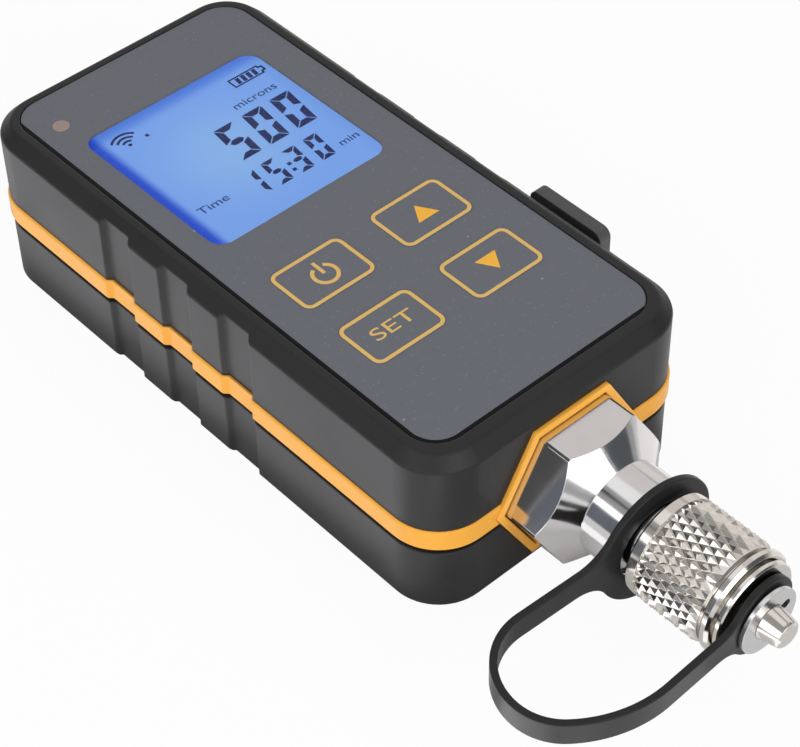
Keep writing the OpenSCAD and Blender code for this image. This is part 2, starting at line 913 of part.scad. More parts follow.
module battery_door() {
  color("#2a2a2c")
    difference() {
      translate([-door_width / 2, door_front, 0])
        cube([door_width, door_end - door_front, door_thick]);
      translate([0, door_screw_y, -eps]) {
        cylinder(d = small_screw + 0.4, h = door_thick + 2 * eps);
        cylinder(d = small_head + 0.4, h = 0.8 + eps);
      }
      for (i = [0 : 4])
        translate([-4.5, door_end - 5 - i * 1.6, -eps])
          cube([9, 0.7, 0.4 + eps]);
    }
}

module door_screw() {
  color("#b0b4b8")
    translate([0, door_screw_y, 0.1])
      screw(small_screw, small_head, 0.7, 5.4);
}

module case_screws() {
  color("#b0b4b8")
    for (place = case_screw_places)
      translate([place[0], place[1], head_seat - head_height])
        screw(screw_diameter, head_diameter, head_height, case_screw_length);
}

module sensor_fitting() {
  color("#c4c6ca")
    difference() {
      union() {
        intersection() {
          axis_hex(hex_radius, gasket_face, neck_start);
          axis_turned([
            [0, gasket_face],
            [hex_turned - 0.5, gasket_face],
            [hex_turned, gasket_face + 0.5],
            [hex_turned, cone_start],
            [neck_diameter / 2, neck_start],
            [0, neck_start]
          ]);
        }
        axis_turned([
          [0, shank_end],
          [shank_diameter / 2 - 0.4, shank_end],
          [shank_diameter / 2, shank_end + 0.4],
          [shank_diameter / 2, gasket_face + eps],
          [0, gasket_face + eps]
        ]);
        axis_turned([
          [0, neck_start - eps],
          [neck_diameter / 2, neck_start - eps],
          [neck_diameter / 2, groove_start - 0.3],
          [neck_diameter / 2 - 0.3, groove_start],
          [strap_groove / 2, groove_start],
          [strap_groove / 2, groove_end],
          [thread_root, groove_end],
          [thread_root, thread_end],
          [bore_diameter / 2 + 0.6, nose_end],
          [0, nose_end]
        ]);
        for (i = [0 : thread_ridges - 1])
          thread_ridge(groove_end + thread_lead + i * thread_pitch);
      }
      axis_round(bore_diameter / 2, chamber_end - eps, nose_end + eps);
      axis_round(chamber_diameter / 2, shank_end - eps, chamber_end);
    }
}

// One ridge of the flare thread round its root
module thread_ridge(start) {
  axis_turned([
    [0, start],
    [thread_root, start],
    [thread_radius, start + 0.38 * thread_pitch],
    [thread_radius, start + 0.5 * thread_pitch],
    [thread_root, start + 0.88 * thread_pitch],
    [0, start + 0.88 * thread_pitch]
  ]);
}

module fitting_gasket() {
  color("#202022")
    difference() {
      axis_round(gasket_radius, bulkhead_face, gasket_face);
      axis_round(shank_diameter / 2 + screw_play, bulkhead_face - eps, gasket_face + eps);
    }
}

module fitting_nut() {
  color("#c8b060")
    difference() {
      axis_hex(nut_radius, bulkhead_back - nut_thick, bulkhead_back);
      axis_round(shank_diameter / 2 + screw_play, bulkhead_back - nut_thick - eps, bulkhead_back + eps);
    }
}

module sensor_element() {
  color("#b8bcc8") {
    axis_turned([
      [0, shank_end - flange_thick],
      [flange_diameter / 2, shank_end - flange_thick],
      [flange_diameter / 2, shank_end],
      [header_radius, shank_end],
      [header_radius, header_end],
      [tube_diameter / 2, header_end],
      [tube_diameter / 2, tube_end - 1],
      [tube_diameter / 3, tube_end],
      [0, tube_end]
    ]);
    for (x = [-1, 1], z = [-1, 1])
      translate([x * pin_place, -shank_end + flange_thick - eps, inlet_height + z * pin_place])
        rotate([-90, 0, 0])
          cylinder(r = pin_radius, h = pin_length + eps, $fn = 24);
  }
}

module sensor_board() {
  board_y = -shank_end + flange_thick + 1;
  color("#1f6b45")
    difference() {
      translate([-sensor_board_width / 2, board_y, inlet_height - sensor_board_drop])
        cube([sensor_board_width, sensor_board_thick, board_low - inlet_height + sensor_board_drop]);
      for (x = [-1, 1], z = [-1, 1])
        translate([x * pin_place, board_y - eps, inlet_height + z * pin_place])
          rotate([-90, 0, 0])
            cylinder(r = pin_radius + screw_play, h = sensor_board_thick + 2 * eps, $fn = 24);
    }
}

module side_hook() {
  color("#262628")
    difference() {
      union() {
        translate([hook_inner, hook_middle, 0])
          rotate([90, 0, 90])
            linear_extrude(hook_thick) {
              translate([-hook_length / 2, hook_low])
                square([hook_length, hook_top - hook_low - hook_corner]);
              translate([-hook_length / 2 + hook_corner, hook_low])
                square([hook_length - 2 * hook_corner, hook_top - hook_low]);
              for (side = [-1, 1])
                translate([side * (hook_length / 2 - hook_corner), hook_top - hook_corner])
                  circle(hook_corner);
            }
        translate([half_width, hook_middle - hook_length / 2, hook_low])
          cube([hook_gap + eps, hook_length, hook_foot]);
      }
      for (y = hook_screw_places)
        translate([half_width - eps, y, hook_screw_height])
          rotate([0, 90, 0])
            cylinder(d = small_screw + 2 * screw_play, h = hook_screw_bite + 0.4);
    }
}

module hook_screws() {
  color("#b0b4b8")
    for (y = hook_screw_places)
      translate([half_width - wall - 1.2, y, hook_screw_height])
        rotate([0, 90, 0])
          screw(small_screw, small_head, 1.2, hook_screw_length);
}

// Barrel of pointed diamonds: lattice points stand on the tip and the root radius by turns
module diamond_knurl(start, end) {
  columns = 2 * knurl_count;
  step = (end - start) / knurl_rows;
  places = [
    for (j = [0 : knurl_rows], m = [0 : columns - 1])
      let (
        inner_row = j > 0 && j < knurl_rows,
        radius = inner_row && (m + j) % 2 == 0 ? knurl_tip : knurl_root,
        angle = m * 180 / knurl_count
      )
      [radius * cos(angle), radius * sin(angle), start + j * step]
  ];
  sides = [
    for (j = [0 : knurl_rows - 1], m = [0 : columns - 1], half = [0, 1])
      let (
        near = j * columns + m,
        next = j * columns + (m + 1) % columns,
        over = near + columns,
        across = next + columns
      )
      (m + j) % 2 == 0
        ? (half == 0 ? [near, over, next] : [next, over, across])
        : (half == 0 ? [near, across, next] : [near, over, across])
  ];
  first = [for (m = [0 : columns - 1]) m];
  last = [for (m = [columns - 1 : -1 : 0]) knurl_rows * columns + m];
  on_axis()
    polyhedron(places, concat(sides, [first, last]));
}

module flare_cap() {
  color("#d0ccc4")
    difference() {
      union() {
        axis_turned([
          [0, cap_back],
          [collar_radius - 0.3, cap_back],
          [collar_radius, cap_back + 0.3],
          [collar_radius, knurl_start],
          [knurl_root - 0.3, knurl_start],
          [knurl_root - 0.3, knurl_end - 0.3],
          [cap_groove_radius, knurl_end - 0.3],
          [cap_groove_radius, collar_start],
          [collar_radius - 0.25, collar_start],
          [collar_radius, collar_start + 0.25],
          [collar_radius, cap_front - 0.4],
          [collar_radius - 0.4, cap_front],
          [shoulder_diameter / 2 - 0.8, cap_front],
          [shoulder_diameter / 2 - 0.8, shoulder_start],
          [shoulder_diameter / 2 - 0.2, shoulder_start],
          [shoulder_diameter / 2, shoulder_start + 0.2],
          [shoulder_diameter / 2, shoulder_end - 0.2],
          [shoulder_diameter / 2 - 0.2, shoulder_end],
          [stud_diameter / 2, shoulder_end],
          [stud_diameter / 2, clip_start],
          [clip_groove / 2, clip_start],
          [clip_groove / 2, clip_end],
          [stud_diameter / 2, clip_end],
          [tip_diameter / 2, taper_end],
          [tip_diameter / 2 - 0.12, stud_end - 0.2],
          [tip_diameter / 2 - 0.45, stud_end],
          [0, stud_end]
        ]);
        diamond_knurl(knurl_start - 0.2, knurl_end);
      }
      axis_turned([
        [0, cap_back - eps],
        [cap_bore + 0.5, cap_back - eps],
        [cap_bore, cap_back + 0.5],
        [cap_bore, seal_end],
        [0, seal_end]
      ]);
    }
}

module cap_seal() {
  color("#303030")
    axis_round(cap_bore, nose_end, seal_end);
}

// How far beside the axis a ring's hollow flare runs into the strip
function flare_reach(outer, flare, drop) =
  sqrt(pow(outer + flare, 2) - pow(strap_width / 2 + flare + drop, 2));

// Ring with its hollow flare into the strip, seen along the inlet's axis
module ring_shape(outer, inner, flare, drop) {
  rise = strap_width / 2 + flare;
  upper = flare_reach(outer, flare, drop);
  lower = flare_reach(outer, flare, -drop);
  difference() {
    union() {
      translate([0, -drop])
        circle(outer);
      difference() {
        polygon([[0, -drop], [-upper, rise], [-lower, -rise]]);
        translate([-upper, rise])
          circle(flare);
        translate([-lower, -rise])
          circle(flare);
      }
    }
    translate([0, -drop])
      circle(inner);
  }
}

// One ring of the strap, leaning with its leg
module strap_ring(place, lean, outer, inner, flare, drop) {
  on_axis()
    translate([0, 0, place])
      rotate([0, lean, 0])
        translate([0, 0, -strap_thick / 2])
          linear_extrude(strap_thick)
            ring_shape(outer, inner, flare, drop);
}

// One straight leg of the strap, seen from above
module strap_leg(place, lean, length, reach) {
  translate([0, -place])
    rotate(lean)
      translate([-length - leg_lap, -strap_thick / 2])
        square([length + leg_lap - reach + eps, strap_thick]);
}

// One bend of the strap, from its start angle on
module strap_bend(middle, radius, start, turn, swell) {
  translate(middle)
    intersection() {
      difference() {
        circle(radius + strap_thick / 2 + swell);
        circle(radius - strap_thick / 2 - swell);
      }
      polygon([
        [0, 0],
        [far * cos(start), far * sin(start)],
        [far * cos(start + turn / 2), far * sin(start + turn / 2)],
        [far * cos(start + turn), far * sin(start + turn)]
      ]);
    }
}

module cap_strap() {
  stud_hole = stud_diameter / 2 + ring_play;
  reach_large = flare_reach(ring_large / 2, flare_large, ring_drop);
  reach_small = flare_reach(ring_small / 2, flare_small, 0);
  rest_turn = 90 - tip_turn + strap_splay;
  widen = bend_front - bend_tip;
  middle_back = [bend_back - loop_reach, -tip_place];
  middle_tip = [bend_tip - loop_reach, -tip_place];
  middle_front = middle_tip + [widen * cos(tip_turn), widen * sin(tip_turn)];
  color("#1c1c1e") {
    strap_ring(ring_back, -strap_splay, ring_large / 2, ring_hole / 2, flare_large, ring_drop);
    strap_ring(ring_front, strap_splay, ring_small / 2, stud_hole, flare_small, 0);
    translate([0, 0, inlet_height - strap_width / 2])
      linear_extrude(strap_width) {
        strap_leg(ring_back, -strap_splay, leg_back, reach_large);
        strap_leg(ring_front, strap_splay, leg_front, reach_small);
        strap_bend(middle_back, bend_back, 90 - strap_splay, 90 + strap_splay + bend_lap, eps);
        strap_bend(middle_tip, bend_tip, 180, tip_turn, 2 * eps);
        strap_bend(middle_front, bend_front, 180 + tip_turn - bend_lap, rest_turn + bend_lap, eps);
      }
  }
}

module strap_clip() {
  color("#c8c8cc")
    on_axis()
      translate([0, 0, clip_start + clip_play])
        linear_extrude(clip_thick)
          difference() {
            circle(d = clip_diameter);
            circle(clip_groove / 2 + clip_play);
            rotate(slot_turn) {
              translate([0, -slot_width / 2])
                square([slot_reach, slot_width]);
              translate([slot_reach, 0])
                circle(slot_width / 2);
            }
          }
}

front_case();
rear_case();
seam_band();
hex_bezel();
face_label();
display_lens();
display_panel();
light_guide();
main_board();
board_screws();
key_switches();
plunger_power();
plunger_up();
plunger_set();
plunger_down();
status_pipe();
status_led();
radio_module();
battery_cells();
battery_contacts();
battery_door();
door_screw();
case_screws();
sensor_fitting();
fitting_gasket();
fitting_nut();
sensor_element();
sensor_board();
side_hook();
hook_screws();
flare_cap();
cap_seal();
cap_strap();
strap_clip();
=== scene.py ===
import math

import bmesh
import bpy
from mathutils import Matrix, Vector


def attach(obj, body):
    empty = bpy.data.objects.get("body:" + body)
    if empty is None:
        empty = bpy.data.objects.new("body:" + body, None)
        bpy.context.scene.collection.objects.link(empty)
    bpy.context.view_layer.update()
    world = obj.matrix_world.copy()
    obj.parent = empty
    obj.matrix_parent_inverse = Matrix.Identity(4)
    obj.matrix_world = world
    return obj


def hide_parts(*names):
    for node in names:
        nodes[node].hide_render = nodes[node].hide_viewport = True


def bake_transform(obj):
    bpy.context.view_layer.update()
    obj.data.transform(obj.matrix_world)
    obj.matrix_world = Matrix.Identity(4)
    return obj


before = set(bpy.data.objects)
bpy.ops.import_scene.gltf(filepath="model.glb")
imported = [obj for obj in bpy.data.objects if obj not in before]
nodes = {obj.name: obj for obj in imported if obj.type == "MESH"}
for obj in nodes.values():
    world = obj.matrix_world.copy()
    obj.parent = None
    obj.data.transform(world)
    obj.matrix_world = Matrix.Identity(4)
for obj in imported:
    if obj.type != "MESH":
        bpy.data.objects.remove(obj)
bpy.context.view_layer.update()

scene = bpy.context.scene
scene.view_settings.view_transform = "Standard"
mm = 0.001

# heights and places taken over from the part, in millimetres
gauge = {
    "panelTop": 24.45,
    "figureBase": 25.23,
    "padTop": 26.97,
    "inletHeight": 12.7,
    "padSize": (12.05, 8.45),
    "keyPlaces": {
        "power": (-8.7, -10.3), "up": (8.7, -10.3), "set": (-8.7, -23.8), "down": (8.7, -23.8),
    },
}
print("frame loaded:", len(nodes), "nodes")


# camera, matched to the photograph's viewpoint
camera = {
    "place": (-0.15083, -0.18679, 0.23827),
    "turn": (44.5101, 0.8628, -42.1925),
    "lens": 106.966,
    "sensor": 36.0,
    "clip": (0.01, 20.0),
}


def placeCamera():
    data = bpy.data.cameras.new("viewCamera")
    data.sensor_fit = "HORIZONTAL"
    data.sensor_width = camera["sensor"]
    data.lens = camera["lens"]
    data.clip_start, data.clip_end = camera["clip"]
    eye = bpy.data.objects.new("viewCamera", data)
    eye.location = camera["place"]
    eye.rotation_euler = [math.radians(a) for a in camera["turn"]]
    scene.collection.objects.link(eye)
    scene.camera = eye


placeCamera()


# small helpers for node trees
def addNode(tree, kind, **settings):
    node = tree.nodes.new(kind)
    for key, value in settings.items():
        if hasattr(node, key):
            setattr(node, key, value)
        else:
            node.inputs[key].default_value = value
    return node


def wire(tree, source, target):
    tree.links.new(source, target)


def newGroup(name, inputs, outputs):
    tree = bpy.data.node_groups.new(name, "ShaderNodeTree")
    for label, kind, value in inputs:
        socket = tree.interface.new_socket(name=label, in_out="INPUT", socket_type=kind)
        socket.default_value = value
    for label, kind in outputs:
        tree.interface.new_socket(name=label, in_out="OUTPUT", socket_type=kind)
    return tree, tree.nodes.new("NodeGroupInput"), tree.nodes.new("NodeGroupOutput")


# fine moulded grain with a slow cloudy shade
def makeGrainGroup():
    tree, given, result = newGroup(
        "mouldedGrain",
        [("Scale", "NodeSocketFloat", 2500.0), ("Cloud Scale", "NodeSocketFloat", 90.0)],
        [("Height", "NodeSocketFloat"), ("Cloud", "NodeSocketFloat")],
    )
    place = addNode(tree, "ShaderNodeTexCoord")
    grain = addNode(tree, "ShaderNodeTexNoise", Detail=2.0, Roughness=0.6)
    cloud = addNode(tree, "ShaderNodeTexNoise", Detail=3.0, Roughness=0.55)
    wire(tree, place.outputs["Object"], grain.inputs["Vector"])
    wire(tree, place.outputs["Object"], cloud.inputs["Vector"])
    wire(tree, given.outputs["Scale"], grain.inputs["Scale"])
    wire(tree, given.outputs["Cloud Scale"], cloud.inputs["Scale"])
    wire(tree, grain.outputs["Fac"], result.inputs["Height"])
    wire(tree, cloud.outputs["Fac"], result.inputs["Cloud"])
    return tree


# rounded look of sharp edges, with a mask of the edge itself
softEdge = {"radius": 0.0002, "samples": 6, "flat": 0.99, "turned": 0.75}


def makeEdgeGroup():
    tree, given, result = newGroup(
        "softEdge",
        [("Radius", "NodeSocketFloat", softEdge["radius"])],
        [("Normal", "NodeSocketVector"), ("Edge", "NodeSocketFloat")],
    )
    rounded = addNode(tree, "ShaderNodeBevel", samples=softEdge["samples"])
    surface = addNode(tree, "ShaderNodeNewGeometry")
    facing = addNode(tree, "ShaderNodeVectorMath", operation="DOT_PRODUCT")
    mask = addNode(tree, "ShaderNodeMapRange", clamp=True)
    mask.inputs["From Min"].default_value = softEdge["flat"]
    mask.inputs["From Max"].default_value = softEdge["turned"]
    wire(tree, given.outputs["Radius"], rounded.inputs["Radius"])
    wire(tree, rounded.outputs["Normal"], facing.inputs[0])
    wire(tree, surface.outputs["Normal"], facing.inputs[1])
    wire(tree, facing.outputs["Value"], mask.inputs["Value"])
    wire(tree, rounded.outputs["Normal"], result.inputs["Normal"])
    wire(tree, mask.outputs["Result"], result.inputs["Edge"])
    return tree


# sparse pale specks, as dust in a matt lacquer
def makeSpeckGroup():
    tree, given, result = newGroup(
        "paleSpecks",
        [
            ("Scale", "NodeSocketFloat", 900.0),
            ("Size", "NodeSocketFloat", 0.2),
            ("Share", "NodeSocketFloat", 0.1),
        ],
        [("Mask", "NodeSocketFloat")],
    )
    place = addNode(tree, "ShaderNodeTexCoord")
    cells = addNode(tree, "ShaderNodeTexVoronoi", feature="F1")
    dot = addNode(tree, "ShaderNodeMath", operation="LESS_THAN")
    parts = addNode(tree, "ShaderNodeSeparateColor")
    chosen = addNode(tree, "ShaderNodeMath", operation="LESS_THAN")
    both = addNode(tree, "ShaderNodeMath", operation="MULTIPLY")
    wire(tree, place.outputs["Object"], cells.inputs["Vector"])
    wire(tree, given.outputs["Scale"], cells.inputs["Scale"])
    wire(tree, cells.outputs["Distance"], dot.inputs[0])
    wire(tree, given.outputs["Size"], dot.inputs[1])
    wire(tree, cells.outputs["Color"], parts.inputs["Color"])
    wire(tree, parts.outputs["Red"], chosen.inputs[0])
    wire(tree, given.outputs["Share"], chosen.inputs[1])
    wire(tree, dot.outputs["Value"], both.inputs[0])
    wire(tree, chosen.outputs["Value"], both.inputs[1])
    wire(tree, both.outputs["Value"], result.inputs["Mask"])
    return tree


# tool marks that run round a part turned about the inlet's axis
def makeLatheGroup():
    tree, given, result = newGroup(
        "latheMarks",
        [("Scale", "NodeSocketFloat", 6000.0)],
        [("Height", "NodeSocketFloat"), ("Smudge", "NodeSocketFloat")],
    )
    place = addNode(tree, "ShaderNodeTexCoord")
    split = addNode(tree, "ShaderNodeSeparateXYZ")
    marks = addNode(tree, "ShaderNodeTexNoise", noise_dimensions="1D", Detail=3.0, Roughness=0.7)
    smudge = addNode(tree, "ShaderNodeTexNoise", Scale=260.0, Detail=4.0, Roughness=0.6)
    wire(tree, place.outputs["Object"], split.inputs["Vector"])
    wire(tree, split.outputs["Y"], marks.inputs["W"])
    wire(tree, given.outputs["Scale"], marks.inputs["Scale"])
    wire(tree, place.outputs["Object"], smudge.inputs["Vector"])
    wire(tree, marks.outputs["Fac"], result.inputs["Height"])
    wire(tree, smudge.outputs["Fac"], result.inputs["Smudge"])
    return tree


grainGroup = makeGrainGroup()
edgeGroup = makeEdgeGroup()
speckGroup = makeSpeckGroup()
latheGroup = makeLatheGroup()


def useGroup(tree, group, **values):
    node = tree.nodes.new("ShaderNodeGroup")
    node.node_tree = group
    for key, value in values.items():
        node.inputs[key.replace("_", " ")].default_value = value
    return node


def startMaterial(name, **sockets):
    material = bpy.data.materials.new(name)
    material.use_nodes = True
    shader = material.node_tree.nodes["Principled BSDF"]
    for key, value in sockets.items():
        shader.inputs[key.replace("_", " ")].default_value = value
    return material, material.node_tree, shader


def mixColours(tree, mask, first, second):
    blend = addNode(tree, "ShaderNodeMix", data_type="RGBA")
    for socket, value in ((blend.inputs[6], first), (blend.inputs[7], second)):
        if isinstance(value, tuple):
            socket.default_value = (*value, 1.0)
        else:
            wire(tree, value, socket)
    wire(tree, mask, blend.inputs[0])
    return blend.outputs[2]


noiseSpan = (0.25, 0.75)  # where nearly all values of a noise lie


def spanValue(tree, source, low, high):
    span = addNode(tree, "ShaderNodeMapRange")
    span.inputs["From Min"].default_value = noiseSpan[0]
    span.inputs["From Max"].default_value = noiseSpan[1]
    span.inputs["To Min"].default_value = low
    span.inputs["To Max"].default_value = high
    wire(tree, source, span.inputs["Value"])
    return span.outputs["Result"]


def fadeMask(tree, source, start, end):
    fade = addNode(tree, "ShaderNodeMapRange", interpolation_type="SMOOTHSTEP")
    fade.inputs["From Min"].default_value = start * mm
    fade.inputs["From Max"].default_value = end * mm
    wire(tree, source, fade.inputs["Value"])
    return fade.outputs["Result"]


def roughSurface(tree, shader, height, edge, look):
    bump = addNode(tree, "ShaderNodeBump")
    bump.inputs["Strength"].default_value = look["strength"]
    bump.inputs["Distance"].default_value = look["depth"]
    wire(tree, height, bump.inputs["Height"])
    wire(tree, edge.outputs["Normal"], bump.inputs["Normal"])
    wire(tree, bump.outputs["Normal"], shader.inputs["Normal"])


# moulded plastics and rubber: two shades, edge shade, grain
plasticUsual = {"gloss": 0.5, "cloud": 70.0}
plastics = {
    "caseBlack": {
        "shades": ((0.017, 0.017, 0.0175), (0.022, 0.022, 0.0225)), "edge": (0.036, 0.036, 0.037),
        "rough": (0.38, 0.46), "grain": 2600.0, "strength": 0.22, "depth": 0.00006, "round": 0.0005,
        "gloss": 0.2,
    },
    "hookBlack": {
        "shades": ((0.054, 0.054, 0.056), (0.064, 0.064, 0.066)), "edge": (0.085, 0.085, 0.087),
        "rough": (0.40, 0.50), "grain": 2600.0, "strength": 0.2, "depth": 0.00005, "round": 0.0003,
    },
    "bandOrange": {
        "shades": ((0.84, 0.38, 0.046), (0.88, 0.42, 0.060)), "edge": (0.92, 0.47, 0.09),
        "rough": (0.34, 0.42), "grain": 2200.0, "strength": 0.12, "depth": 0.00004, "round": 0.0002,
        "gloss": 0.18,
    },
    "bezelOrange": {
        "shades": ((0.93, 0.42, 0.038), (0.97, 0.46, 0.048)), "edge": (0.98, 0.52, 0.08),
        "rough": (0.34, 0.42), "grain": 2200.0, "strength": 0.12, "depth": 0.00004, "round": 0.00045,
    },
    "strapRubber": {
        "shades": ((0.015, 0.015, 0.016), (0.020, 0.020, 0.021)), "edge": (0.034, 0.034, 0.035),
        "rough": (0.34, 0.44), "grain": 1800.0, "strength": 0.15, "depth": 0.00004, "round": 0.0002,
        "gloss": 0.18,
    },
    "sealRubber": {
        "shades": ((0.016, 0.016, 0.017), (0.022, 0.022, 0.023)), "edge": (0.026, 0.026, 0.027),
        "rough": (0.55, 0.65), "grain": 1800.0, "strength": 0.2, "depth": 0.00004, "round": 0.0002,
    },
    "switchBlack": {
        "shades": ((0.020, 0.020, 0.022), (0.028, 0.028, 0.030)), "edge": (0.045, 0.045, 0.047),
        "rough": (0.42, 0.52), "grain": 2600.0, "strength": 0.2, "depth": 0.00005, "round": 0.0002,
    },
    "plungerCream": {
        "shades": ((0.72, 0.69, 0.60), (0.76, 0.73, 0.64)), "edge": (0.80, 0.78, 0.70),
        "rough": (0.40, 0.50), "grain": 2400.0, "strength": 0.1, "depth": 0.00003, "round": 0.0001,
    },
    "pipePink": {
        "shades": ((0.25, 0.18, 0.16), (0.36, 0.27, 0.24)), "edge": (0.38, 0.29, 0.26),
        "rough": (0.30, 0.40), "grain": 1600.0, "strength": 0.1, "depth": 0.00003, "round": 0.0002,
        "cloud": 900.0,
    },
    "ledWhite": {
        "shades": ((0.74, 0.73, 0.62), (0.80, 0.79, 0.68)), "edge": (0.84, 0.83, 0.74),
        "rough": (0.30, 0.40), "grain": 2400.0, "strength": 0.1, "depth": 0.00003, "round": 0.0001,
    },
    "guideWhite": {
        "shades": ((0.78, 0.82, 0.88), (0.82, 0.86, 0.92)), "edge": (0.86, 0.90, 0.95),
        "rough": (0.25, 0.35), "grain": 1200.0, "strength": 0.05, "depth": 0.00003, "round": 0.0002,
    },
    "cellWrap": {
        "shades": ((0.18, 0.24, 0.06), (0.22, 0.28, 0.08)), "edge": (0.30, 0.36, 0.14),
        "rough": (0.28, 0.36), "grain": 900.0, "strength": 0.06, "depth": 0.00003, "round": 0.0003,
    },
    "boardGreen": {
        "shades": ((0.014, 0.14, 0.065), (0.018, 0.17, 0.080)), "edge": (0.18, 0.20, 0.10),
        "rough": (0.35, 0.45), "grain": 1500.0, "strength": 0.15, "depth": 0.00004, "round": 0.0001,
    },
}


def makePlastic(name, ownLook):
    look = {**plasticUsual, **ownLook}
    material, tree, shader = startMaterial(name, Specular_IOR_Level=look["gloss"])
    grain = useGroup(tree, grainGroup, Scale=look["grain"], Cloud_Scale=look["cloud"])
    edge = useGroup(tree, edgeGroup, Radius=look["round"])
    body = mixColours(tree, grain.outputs["Cloud"], *look["shades"])
    colour = mixColours(tree, edge.outputs["Edge"], body, look["edge"])
    wire(tree, colour, shader.inputs["Base Color"])
    wire(tree, spanValue(tree, grain.outputs["Cloud"], *look["rough"]), shader.inputs["Roughness"])
    roughSurface(tree, shader, grain.outputs["Height"], edge, look)
    return material


# metals: base shade, smudged shade, roughness span, lathe marks
metals = {
    "fittingSteel": {
        "shades": ((0.64, 0.63, 0.63), (0.72, 0.71, 0.71)), "rough": (0.08, 0.16), "marks": 5200.0,
        "strength": 0.06, "depth": 0.00002, "round": 0.00015,
    },
    "capNickel": {
        "shades": ((0.62, 0.59, 0.55), (0.70, 0.67, 0.63)), "rough": (0.10, 0.18), "marks": 4200.0,
        "strength": 0.05, "depth": 0.00002, "round": 0.00006,
    },
    "clipSteel": {
        "shades": ((0.60, 0.59, 0.60), (0.68, 0.67, 0.68)), "rough": (0.20, 0.30), "marks": 9000.0,
        "strength": 0.1, "depth": 0.00002, "round": 0.0001,
    },
    "screwSteel": {
        "shades": ((0.52, 0.52, 0.54), (0.60, 0.60, 0.62)), "rough": (0.24, 0.34), "marks": 7000.0,
        "strength": 0.1, "depth": 0.00002, "round": 0.0001,
    },
    "sensorSteel": {
        "shades": ((0.58, 0.59, 0.63), (0.66, 0.67, 0.71)), "rough": (0.20, 0.30), "marks": 6000.0,
        "strength": 0.08, "depth": 0.00002, "round": 0.0001,
    },
    "shieldTin": {
        "shades": ((0.60, 0.61, 0.62), (0.68, 0.69, 0.70)), "rough": (0.28, 0.38), "marks": 3000.0,
        "strength": 0.06, "depth": 0.00002, "round": 0.0002,
    },
    "contactNickel": {
        "shades": ((0.66, 0.58, 0.38), (0.74, 0.66, 0.44)), "rough": (0.18, 0.28), "marks": 5000.0,
        "strength": 0.06, "depth": 0.00002, "round": 0.0001,
    },
    "nutBrass": {
        "shades": ((0.64, 0.50, 0.22), (0.72, 0.57, 0.27)), "rough": (0.20, 0.30), "marks": 5000.0,
        "strength": 0.08, "depth": 0.00002, "round": 0.0002,
    },
}


def makeMetal(name, look):
    material, tree, shader = startMaterial(name, Metallic=1.0)
    lathe = useGroup(tree, latheGroup, Scale=look["marks"])
    edge = useGroup(tree, edgeGroup, Radius=look["round"])
    colour = mixColours(tree, lathe.outputs["Smudge"], *look["shades"])
    wire(tree, colour, shader.inputs["Base Color"])
    wire(tree, spanValue(tree, lathe.outputs["Smudge"], *look["rough"]), shader.inputs["Roughness"])
    roughSurface(tree, shader, lathe.outputs["Height"], edge, look)
    return material


# blue-grey printed film with pale specks, and painted shade along its left and inlet-side edges, the
# shade of the gap round the film
labelLook = {
    "shades": ((0.136, 0.143, 0.164), (0.150, 0.158, 0.182)),
    "speck": (0.30, 0.31, 0.34),
    # painted shade of the gap beside the film's left and inlet-side edges
    "edge": (0.004, 0.004, 0.005),
    "corner": (-15.35, -39.07),
    "grooveShadeFrom": 3.95,
    "rough": (0.46, 0.54),
    "gloss": 0.1,
    "grain": 3800.0,
    "cloud": 900.0,
    "fineSpecks": {"Scale": 2600.0, "Size": 0.30, "Share": 0.07},
    "fineShare": 0.35,
    "coarseSpecks": {"Scale": 700.0, "Size": 0.13, "Share": 0.022},
    "round": 0.00012, "strength": 0.25, "depth": 0.00004,
}


def makeLabelFilm():
    look = labelLook
    material, tree, shader = startMaterial("labelFilm", Specular_IOR_Level=look["gloss"])
    grain = useGroup(tree, grainGroup, Scale=look["grain"], Cloud_Scale=look["cloud"])
    fine = useGroup(tree, speckGroup, **look["fineSpecks"])
    coarse = useGroup(tree, speckGroup, **look["coarseSpecks"])
    soft = useGroup(tree, edgeGroup, Radius=look["round"])
    specks = addNode(tree, "ShaderNodeMath", operation="MAXIMUM")
    faint = addNode(tree, "ShaderNodeMath", operation="MULTIPLY")
    faint.inputs[1].default_value = look["fineShare"]
    wire(tree, fine.outputs["Mask"], faint.inputs[0])
    wire(tree, faint.outputs["Value"], specks.inputs[0])
    wire(tree, coarse.outputs["Mask"], specks.inputs[1])
    # distance past the corner's centre picks out the left and the inlet-side edge, which get the
    # painted shade of the gap
    place = addNode(tree, "ShaderNodeTexCoord")
    corner = addNode(tree, "ShaderNodeMapping", vector_type="POINT")
    corner.inputs["Scale"].default_value = (-1.0, -1.0, 0.0)
    corner.inputs["Location"].default_value = Vector((*look["corner"], 0.0)) * mm
    outside = addNode(tree, "ShaderNodeVectorMath", operation="MAXIMUM")
    away = addNode(tree, "ShaderNodeVectorMath", operation="LENGTH")
    grooveShade = addNode(tree, "ShaderNodeMath", operation="GREATER_THAN")
    grooveShade.inputs[1].default_value = look["grooveShadeFrom"] * mm
    wire(tree, place.outputs["Object"], corner.inputs["Vector"])
    wire(tree, corner.outputs["Vector"], outside.inputs[0])
    wire(tree, outside.outputs["Vector"], away.inputs[0])
    wire(tree, away.outputs["Value"], grooveShade.inputs[0])
    body = mixColours(tree, grain.outputs["Cloud"], *look["shades"])
    dusted = mixColours(tree, specks.outputs["Value"], body, look["speck"])
    colour = mixColours(tree, grooveShade.outputs["Value"], dusted, look["edge"])
    wire(tree, colour, shader.inputs["Base Color"])
    wire(tree, spanValue(tree, grain.outputs["Cloud"], *look["rough"]), shader.inputs["Roughness"])
    roughSurface(tree, shader, grain.outputs["Height"], soft, look)
    return material


